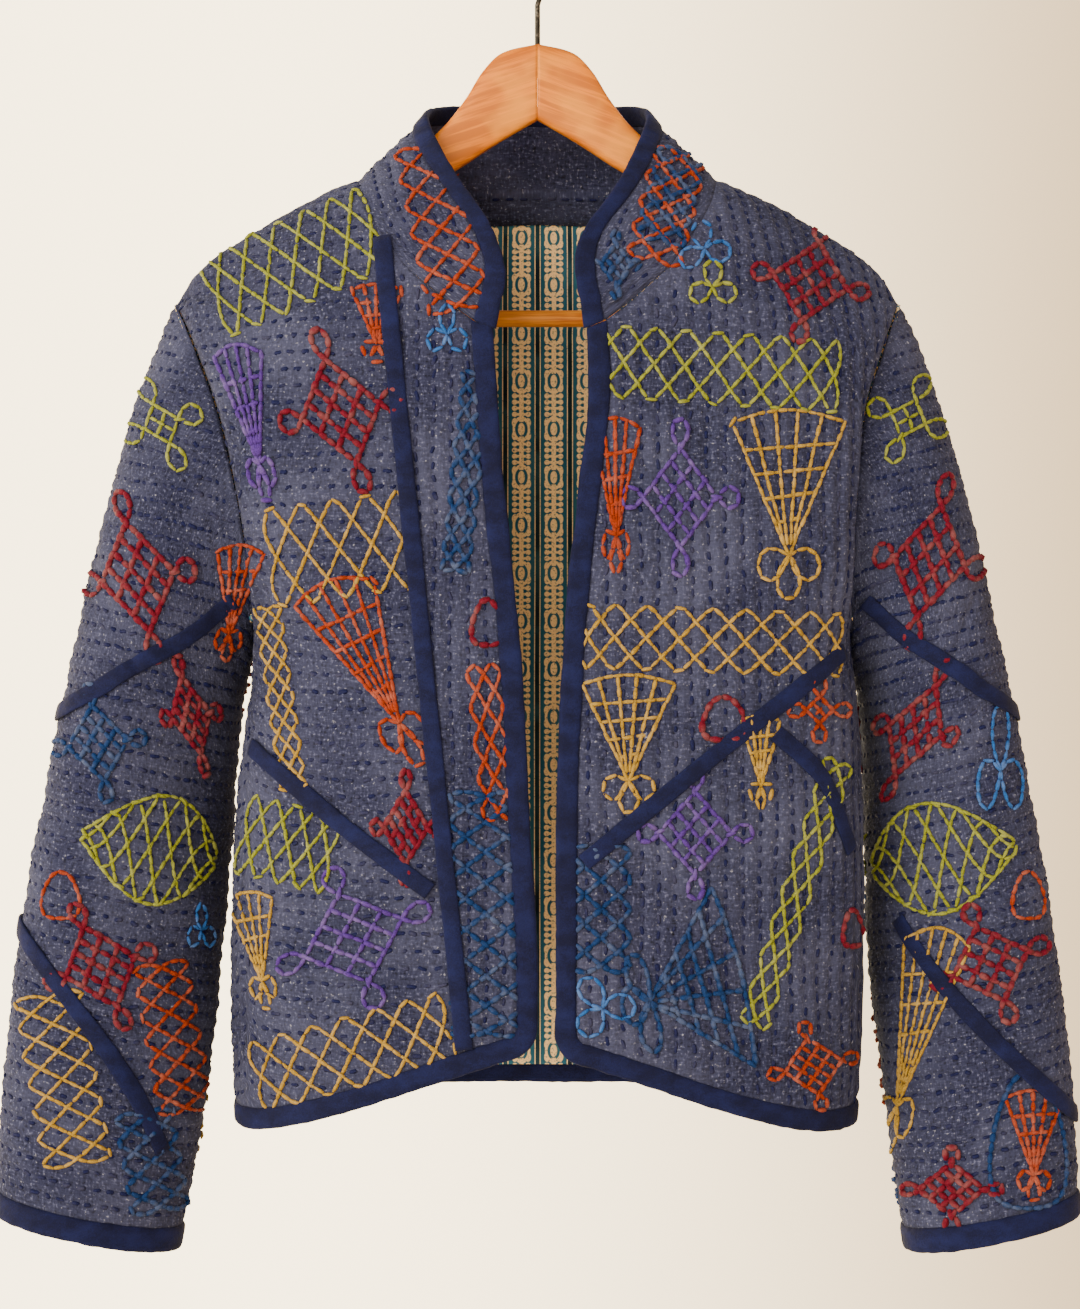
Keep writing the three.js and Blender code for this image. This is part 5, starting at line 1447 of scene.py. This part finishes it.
def motif_lines(kind: Motif, turns: int = 0) -> list[Array]:
    """The strokes of a motif.

    Args:
        kind: The kind of motif.
        turns: How many lines cross it; 0 for the kind's own number.
    Returns:
        Places along each stroke.
    """
    t = np.linspace(0, 2 * np.pi, 700)
    if kind is Motif.KNOT:
        return looped_square(turns or 3, 0.8)
    if kind is Motif.FLOWER:
        return looped_square(1, 1.9)
    if kind is Motif.CONE:
        return fan(turns or 4)
    if kind is Motif.TREFOIL:
        return [petal((0, 0), degrees, 1) for degrees in (90, 200, 340)]
    if kind is Motif.LOOP:
        return [np.stack([np.cos(t), np.sin(t) - 0.2 * np.cos(2 * t)], -1)]
    fast = (turns or 7) | 1
    x, y = bounce(fast * t), bounce(2 * t + np.pi / 2 / fast + np.pi / 2)
    if kind is Motif.BAND:
        return [np.stack([y, x], -1)]
    if kind is Motif.LEAF:
        lens = 0.1 + 0.9 * np.sin(np.pi * ((1 - y) / 2) ** 0.8)
        edge = 0.1 + 0.9 * np.sin(np.pi * (t / 2 / np.pi) ** 0.8)
        sides = [np.stack([side * edge, 1 - t / np.pi], -1) for side in (-1, 1)]
        return [np.stack([x * lens, y], -1), *sides]
    return [np.stack([x, y], -1)]


C = ThreadColour
M = Motif
# Motifs as they lie in the picture: kind, thread, left, right, top and bottom in pixels, turn in degrees and
# crossings, where 0 is the kind's own number.
FRONT_MOTIFS = (
    (M.BAND, C.LIME, 200, 390, 190, 335, 24, 7), (M.CONE, C.PURPLE, 215, 275, 345, 500, 8, 3),
    (M.CONE, C.RUST, 215, 265, 545, 660, -6, 3), (M.KNOT, C.CRIMSON, 280, 402, 330, 492, 14, 3),
    (M.CONE, C.RUST, 352, 402, 285, 362, 0, 3), (M.BAND, C.MUSTARD, 265, 415, 492, 605, 8, 5),
    (M.CONE, C.RUST, 295, 428, 578, 765, 22, 4), (M.LATTICE, C.MUSTARD, 256, 306, 606, 790, 8, 9),
    (M.BAND, C.LIME, 236, 340, 796, 892, -14, 5), (M.KNOT, C.CRIMSON, 372, 440, 770, 885, 0, 3),
    (M.KNOT, C.PURPLE, 278, 430, 868, 1008, 20, 3), (M.CONE, C.MUSTARD, 228, 276, 892, 1008, 6, 3),
    (M.BAND, C.MUSTARD, 250, 455, 994, 1110, 15, 7), (M.LATTICE, C.RUST, 396, 488, 142, 314, 12, 7),
    (M.TREFOIL, C.SKY, 428, 466, 306, 350, 0, 0), (M.LATTICE, C.TEAL, 442, 490, 372, 572, -6, 9),
    (M.LOOP, C.CRIMSON, 472, 502, 600, 645, 0, 0), (M.LATTICE, C.RUST, 468, 514, 665, 820, 6, 5),
    (M.LATTICE, C.TEAL, 450, 522, 792, 1036, 0, 9), (M.LATTICE, C.RUST, 628, 706, 148, 266, -14, 5),
    (M.LATTICE, C.TEAL, 638, 704, 148, 246, -14, 5), (M.KNOT, C.TEAL, 592, 640, 232, 298, 0, 2),
    (M.TREFOIL, C.SKY, 680, 730, 222, 268, 10, 0), (M.TREFOIL, C.LIME, 690, 735, 262, 302, 0, 0),
    (M.KNOT, C.CRIMSON, 752, 868, 222, 342, -12, 3), (M.BAND, C.LIME, 592, 840, 325, 412, -4, 9),
    (M.CONE, C.RUST, 592, 640, 418, 572, 0, 3), (M.KNOT, C.PURPLE, 622, 738, 420, 575, 0, 3),
    (M.CONE, C.MUSTARD, 732, 845, 410, 598, 0, 4), (M.BAND, C.MUSTARD, 582, 842, 605, 676, -2, 9),
    (M.CONE, C.MUSTARD, 582, 675, 675, 812, 0, 4), (M.LOOP, C.CRIMSON, 702, 745, 697, 740, 0, 0),
    (M.FLOWER, C.RUST, 788, 850, 678, 742, 0, 0), (M.KNOT, C.PURPLE, 638, 752, 768, 898, 0, 3),
    (M.LATTICE, C.TEAL, 572, 630, 846, 972, 0, 5), (M.CONE, C.MUSTARD, 741, 780, 715, 808, 0, 3),
    (M.LATTICE, C.LIME, 742, 850, 758, 1028, -20, 9), (M.CONE, C.TEAL, 622, 755, 887, 1066, -75, 4),
    (M.LOOP, C.CRIMSON, 842, 862, 910, 946, 0, 0), (M.KNOT, C.RUST, 768, 857, 1022, 1110, 12, 3),
    (M.TREFOIL, C.SKY, 578, 634, 978, 1036, 30, 0), (M.FLOWER, C.LIME, 122, 202, 378, 470, 20, 0),
    (M.KNOT, C.CRIMSON, 82, 195, 492, 662, 10, 3), (M.KNOT, C.CRIMSON, 161, 220, 655, 775, 10, 3),
    (M.KNOT, C.TEAL, 52, 145, 684, 802, 8, 3), (M.LEAF, C.LIME, 82, 216, 796, 904, -102, 7),
    (M.LOOP, C.RUST, 42, 80, 872, 918, 0, 0), (M.KNOT, C.CRIMSON, 46, 155, 904, 1029, 20, 3),
    (M.TREFOIL, C.SKY, 188, 214, 905, 945, 0, 0), (M.LATTICE, C.RUST, 134, 212, 960, 1115, 10, 7),
    (M.LATTICE, C.MUSTARD, 16, 110, 990, 1168, 10, 7), (M.LATTICE, C.TEAL, 116, 188, 1108, 1214, 10, 5),
    (M.FLOWER, C.LIME, 868, 948, 375, 462, -20, 0), (M.KNOT, C.CRIMSON, 874, 984, 475, 648, -10, 3),
    (M.KNOT, C.CRIMSON, 874, 958, 660, 800, -16, 3), (M.TREFOIL, C.SKY, 978, 1022, 705, 808, 0, 0),
    (M.LEAF, C.LIME, 872, 1016, 803, 914, 100, 7), (M.LOOP, C.RUST, 1012, 1044, 872, 918, 0, 0),
    (M.KNOT, C.CRIMSON, 932, 1048, 905, 1022, 20, 3), (M.CONE, C.MUSTARD, 876, 970, 928, 1158, -10, 4),
    (M.CONE, C.RUST, 1005, 1062, 1090, 1200, 0, 3), (M.LOOP, C.TEAL, 990, 1066, 1072, 1208, 0, 0),
    (M.KNOT, C.CRIMSON, 902, 1002, 1148, 1230, 0, 3),
)
# The back's own motifs; the sleeves' rows repeat the front's, seen from behind.
BACK_MOTIFS = (
    (M.BAND, C.MUSTARD, 300, 520, 215, 300, 0, 11), (M.BAND, C.LIME, 560, 780, 220, 305, 0, 11),
    (M.KNOT, C.CRIMSON, 235, 370, 320, 470, 8, 3), (M.CONE, C.RUST, 385, 480, 320, 480, 0, 4),
    (M.KNOT, C.PURPLE, 490, 610, 330, 470, 0, 3), (M.CONE, C.TEAL, 620, 715, 325, 485, 0, 4),
    (M.KNOT, C.CRIMSON, 730, 850, 325, 470, -8, 3), (M.BAND, C.RUST, 250, 500, 505, 580, 0, 13),
    (M.FLOWER, C.SKY, 512, 575, 510, 575, 0, 0), (M.BAND, C.TEAL, 590, 840, 505, 580, 0, 13),
    (M.LATTICE, C.MUSTARD, 240, 320, 610, 780, 0, 8), (M.KNOT, C.TEAL, 335, 450, 615, 770, 0, 3),
    (M.CONE, C.LIME, 465, 560, 610, 780, 0, 4), (M.KNOT, C.CRIMSON, 575, 695, 615, 765, 0, 3),
    (M.LATTICE, C.RUST, 715, 850, 610, 770, 0, 8), (M.BAND, C.PURPLE, 240, 470, 805, 880, 0, 11),
    (M.BAND, C.LIME, 490, 850, 805, 880, 0, 15), (M.KNOT, C.RUST, 235, 355, 905, 1040, 0, 3),
    (M.CONE, C.CRIMSON, 372, 480, 905, 1060, 0, 4), (M.KNOT, C.MUSTARD, 500, 620, 905, 1040, 0, 3),
    (M.CONE, C.SKY, 640, 735, 905, 1060, 0, 4), (M.KNOT, C.PURPLE, 750, 855, 905, 1040, 0, 3),
)
SLEEVE_EDGE_PX = (222, 864)
# Half widths of the chain stitch, which is broader in the threads that fill their motifs.
PLAIN_HALF = 1.5
THREAD_HALF = {C.CRIMSON: 2.4, C.TEAL: 2.1, C.PURPLE: 1.85, C.RUST: 1.7}


@dataclass
class Embroidery:
    """Interlaced lines in chain stitch, laid on the cloth where the picture shows them."""

    garment: Garment
    link: float = 6.8
    gap_px: float = 1.2
    jump: float = 5.0
    reach: float = 2.4
    lift: float = 0.45
    plump: float = 0.62

    def __post_init__(self) -> None:
        """Makes one tree of all the outer shells."""
        points, faces, self.owner = [], [], []
        for name, panel in self.garment.panels.items():
            rows, columns = panel.outer.shape[:2]
            j, k = (a.ravel() for a in np.mgrid[0:rows - 1, 0:columns - 1])
            corner = len(points) + j * columns + k
            faces += np.stack([corner, corner + 1, corner + columns + 1, corner + columns], -1).tolist()
            points += panel.outer.reshape(-1, 3).tolist()
            self.owner += [name] * len(corner)
        self.tree = BVHTree.FromPolygons(points, faces)

    def cast(self, pixels: Array, away: int) -> list[tuple[Array, Array, str] | None]:
        """Where rays from the camera, or from its mirror place behind, meet the cloth.

        Args:
            pixels: Places in the picture.
            away: -1 for the camera's side, 1 for behind.
        Returns:
            Place, normal and panel for each ray that meets the cloth.
        """
        origin = Vector((CAMERA_X, away * CAMERA_AWAY, CAMERA_Z))
        found = []
        for px, py in pixels:
            x, z = (px - IMAGE_WIDTH / 2) / PIXELS_PER_TANGENT, (IMAGE_HEIGHT / 2 - py) / PIXELS_PER_TANGENT
            way = Vector((x * -away, -away, z)).normalized()
            place, normal, index, _ = self.tree.ray_cast(origin, way)
            if place is None:
                found.append(None)
                continue
            if normal.dot(way) > 0:
                normal = -normal
            found.append((np.array(place), np.array(normal), self.owner[index]))
        return found

    def lay(self, row: Sequence, away: int) -> None:
        """Lays one motif's line on the cloth.

        Args:
            row: The motif's kind, thread, box, turn and crossings.
            away: -1 for the front, 1 for the back.
        """
        kind, thread, left, right, top, bottom, turn, crossings = row
        c, s = math.cos(math.radians(turn)), math.sin(math.radians(turn))
        wide, tall, spread = right - left, bottom - top, c * c - s * s
        unturned = np.array([wide * c - tall * abs(s), tall * c - wide * abs(s)]) / spread
        shape = np.maximum(unturned, 0.3 * min(wide, tall))
        strokes = [line * shape @ np.array([[c, s], [-s, c]]) for line in motif_lines(kind, crossings)]
        low, high = (pick(np.concatenate(strokes), axis=0) for pick in (np.min, np.max))
        for line in strokes:
            pixels = np.array([left, bottom]) + (line - low) / (high - low) * np.array([wide, -tall])
            run = travelled(pixels)
            self.follow(read_at(np.arange(0, run[-1], self.gap_px), run, pixels), thread, away)

    def follow(self, pixels: Array, thread: ThreadColour, away: int) -> None:
        """Lays one stroke on the cloth, in as many stretches as the panels under it ask for."""
        stretch: list = []
        for hit in [*self.cast(pixels, away), None]:
            broken = hit is None or (stretch and (hit[2] != stretch[-1][2]
                                                  or np.linalg.norm(hit[0] - stretch[-1][0]) > self.jump))
            if broken and stretch:
                self.sew(stretch, thread)
                stretch = []
            if hit is not None:
                stretch.append(hit)

    def sew(self, stretch: list, thread: ThreadColour) -> None:
        """Turns one unbroken stretch of line into chain links."""
        points, normals = np.array([h[0] for h in stretch]), np.array([h[1] for h in stretch])
        if len(points) < 5:
            return
        run = travelled(points)
        count = int(run[-1] // self.link)
        if count < 1:
            return
        at = (np.arange(count) + 0.5) * run[-1] / count
        place, ahead, behind = (read_at(at + shift, run, points) for shift in (0, self.reach, -self.reach))
        normal = unit(read_at(at, run, normals))
        self.links.setdefault(stretch[0][2], []).append((place, ahead - behind, normal, thread))

    def build(self) -> None:
        """Sews every motif, and makes one piece of embroidery for each panel."""
        self.links: dict[str, list] = {}
        for row in FRONT_MOTIFS:
            self.lay(row, -1)
        sleeves = [row for row in FRONT_MOTIFS if row[3] < SLEEVE_EDGE_PX[0] or row[2] > SLEEVE_EDGE_PX[1]]
        for row in (*BACK_MOTIFS, *sleeves):
            self.lay(row, 1)
        shape = chain_shape()
        order = list(ThreadColour)
        for name, parts in self.links.items():
            centre, way, normal = (np.concatenate([part[i] for part in parts]) for i in range(3))
            index = np.concatenate([np.full(len(part[0]), order.index(part[3])) for part in parts])
            draw = np.random.default_rng(len(centre))
            halves = np.array([THREAD_HALF.get(colour, PLAIN_HALF) for colour in order])
            half = halves[index] * draw.normal(1, 0.06, len(centre))
            sizes = np.stack([half, half * self.plump, np.full(len(centre), self.link / 2)], -1)
            mesh = copies(f"embroidery_{name}", shape, centre + normal * self.lift, way, normal, sizes)
            mesh.polygons.foreach_set("material_index", np.repeat(index, len(shape[1])).astype(np.int32))
            materials = [self.garment.finishes.threads[colour] for colour in order]
            self.garment.sewing[name].append(piece(f"embroidery_{name}", mesh, materials))
            LOG.info("%s: %d chain links", name, len(centre))


@dataclass
class Hanger:
    """The wooden hanger, its trouser bar and its wire hook."""

    finishes: Finishes
    bar_radius: float = 5.5
    bar_height: float = -181.0
    bar_half: float = 203.0
    wire_radius: float = 1.75
    hook_centre: float = 60.0
    hook_radius: float = 20.75

    def arm(self, name: str, side: int, material: Material) -> Object:
        """One arm, rounded along its edges."""
        x = np.concatenate([np.linspace(*stretch) for stretch in ARM_STATIONS])
        top, bottom, half = (Column(ARM_SLICES, i)(x)[:, None] for i in (1, 2, 3))
        angle = (2 * np.pi * np.arange(33) / 32)[None, :]
        y = half * rounded(np.cos(angle), 0.45)
        z = (top + bottom) / 2 + rounded(np.sin(angle), 0.6) * (top - bottom) / 2 - HOOK_REACH
        points = np.stack([side * np.broadcast_to(x[:, None], y.shape), y, z], -1)
        mesh = surface_mesh(name, points, ring=True, capped=True)
        return piece(f"wood_{name}", mesh, [material], [name])

    def rod(self, name: str, path: Array, radius: float, sides: int, material: Material) -> Object:
        """A round rod along a path in the hanger's plane."""
        along = unit(np.gradient(path, axis=0))
        out = np.array([0, -1.0, 0])
        across = np.cross(along, out)
        angle = 2 * np.pi * np.arange(sides + 1) / sides
        shares = np.stack([np.cos(angle), np.sin(angle)], -1) * radius
        points = path[:, None] + across[:, None] * shares[None, :, :1] + out * shares[None, :, 1:]
        mesh = surface_mesh(name, points, ring=True, capped=True)
        return piece(f"part_{name}", mesh, [material], [name])

    def build(self) -> None:
        """Makes the arms, the bar and the hook."""
        self.arm("hanger_arm_right", -1, self.finishes.wood_right)
        self.arm("hanger_arm_left", 1, self.finishes.wood_left)
        x = np.linspace(-self.bar_half, self.bar_half, 60)
        bar = np.stack([x, 0 * x, np.full_like(x, self.bar_height - HOOK_REACH)], -1)
        self.rod("hanger_bar", bar, self.bar_radius, 24, self.finishes.wood_bar)
        angle = np.radians(np.linspace(-50, 205, 60))
        curl = np.stack([np.cos(angle), np.sin(angle)], -1) * self.hook_radius + (0, self.hook_centre)
        shank = np.array([[0, -22], [0, -8], [0, 4], [0, 15], [0, 26], [2.4, 34], [8, 40.6]])
        line = np.concatenate([shank, curl])
        hook = np.stack([line[:, 0], 0 * line[:, 0], line[:, 1] - HOOK_REACH], -1)
        self.rod("hanger_hook", hook, self.wire_radius, 14, self.finishes.wire)


# The stretches over which the surround's colours pass into each other, along X and by the direction's height;
# then its colours to the left, to the right, and both above and below.
WORLD_ACROSS = (-0.12, 0.26)
WORLD_BAND = (0.3, 0.5)
WORLD_LEFT = (6.0, 4.9, 3.1, 1.0)
WORLD_RIGHT = (1.6, 1.08, 0.58, 1.0)
WORLD_POLES = (0.6, 0.57, 0.52, 1.0)
# The lamps: name, place, size, power and colour; and the place that they look at.
LAMPS = (
    ("key", (-1.7, -2.3, 0.9), 1.5, 34.0, (1.0, 0.965, 0.91)),
    ("fill", (2.1, -1.9, -0.2), 2.0, 4.0, (0.93, 0.96, 1.0)),
    ("back", (0.6, 2.3, 0.9), 2.0, 20.0, (1.0, 0.97, 0.93)),
)
LAMP_TARGET = (0, 0, -0.5)


@dataclass
class Studio:
    """The floor, the light and the camera."""

    floor_height: float = -1.55
    floor_radius: float = 2.2

    def build(self) -> None:
        """Sets the stage."""
        shaped = bmesh.new()
        bmesh.ops.create_circle(shaped, cap_ends=True, segments=96, radius=self.floor_radius,
                                matrix=Matrix.Translation((0, 0, self.floor_height)))
        mesh = bpy.data.meshes.new("floor")
        shaped.to_mesh(mesh)
        shaped.free()
        mesh.materials.append(PaleFloor().material())
        floor = bpy.data.objects.new("floor", mesh)
        bpy.context.scene.collection.objects.link(floor)
        for row in LAMPS:
            self.lamp(*row)
        self.world()
        camera = bpy.data.cameras.new("camera")
        camera.lens, camera.sensor_width = CAMERA_LENS, SENSOR_WIDTH
        held = bpy.data.objects.new("camera", camera)
        held.location = (CAMERA_X * MM, -CAMERA_AWAY * MM, CAMERA_Z * MM)
        held.rotation_euler = (math.pi / 2, 0, 0)
        bpy.context.scene.collection.objects.link(held)
        bpy.context.scene.camera = held

    @staticmethod
    def lamp(name: str, at: Triple, size: float, power: float, colour: Triple) -> None:
        """A square soft light that looks at the jacket."""
        light = bpy.data.lights.new(name, "AREA")
        light.size, light.energy, light.color = size, power, colour
        held = bpy.data.objects.new(name, light)
        held.location = at
        held.rotation_euler = (Vector(LAMP_TARGET) - Vector(at)).to_track_quat("-Z", "Y").to_euler()
        bpy.context.scene.collection.objects.link(held)

    @staticmethod
    def world() -> None:
        """A cream surround, brighter to the left and dim overhead and underfoot."""
        world = bpy.data.worlds.new("cream")
        world.use_nodes = True
        nodes, links = world.node_tree.nodes, world.node_tree.links
        place, parts, tall = (nodes.new(kind) for kind in (
            "ShaderNodeTexCoord", "ShaderNodeSeparateXYZ", "ShaderNodeMath"))
        links.new(place.outputs["Generated"], parts.inputs[0])
        tall.operation = "ABSOLUTE"
        links.new(parts.outputs["Z"], tall.inputs[0])
        def blend(value: Socket, reach: tuple, near: object, far: object) -> Socket:
            """Passes smoothly from one colour to another as a value grows."""
            step, mix = nodes.new("ShaderNodeMapRange"), nodes.new("ShaderNodeMix")
            step.interpolation_type, mix.data_type = "SMOOTHSTEP", "RGBA"
            step.inputs["From Min"].default_value, step.inputs["From Max"].default_value = reach
            links.new(value, step.inputs["Value"])
            links.new(step.outputs[0], mix.inputs[0])
            for socket, colour in ((mix.inputs[6], near), (mix.inputs[7], far)):
                if isinstance(colour, Socket):
                    links.new(colour, socket)
                else:
                    socket.default_value = colour
            return mix.outputs[2]
        around = blend(parts.outputs["X"], WORLD_ACROSS, WORLD_LEFT, WORLD_RIGHT)
        colour = blend(tall.outputs[0], WORLD_BAND, around, WORLD_POLES)
        links.new(colour, nodes["Background"].inputs[0])
        bpy.context.scene.world = world


# The flat width, length and area of each quilted piece of cloth, in metres.
CUTS = {
    "front_left": (0.24, 0.674, 0.125), "front_right": (0.216, 0.667, 0.098),
    "front_band": (0.088, 0.519, 0.0232), "back": (0.529, 0.682, 0.3),
    "sleeve_right": (0.513, 0.597, 0.189), "sleeve_left": (0.506, 0.597, 0.178),
    "collar": (0.629, 0.065, 0.0283),
}


def declare(garment: Garment) -> None:
    """Goes through each sheet of cloth named in CUTS and lists its sewing and trims; its width, length and
    area are not used.
    """
    for name, (width, length, area) in CUTS.items():
        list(garment.sewing[name])
        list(garment.trims[name])


def main() -> None:
    """Dresses the frame."""
    logging.basicConfig(level=logging.INFO, format="%(message)s")
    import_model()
    finishes = Finishes()
    Studio().build()
    Hanger(finishes).build()
    garment = Garment(finishes)
    garment.build()
    garment.line()
    garment.bind()
    garment.apply_strips()
    Embroidery(garment).build()
    declare(garment)


if __name__ == "__main__":
    main()
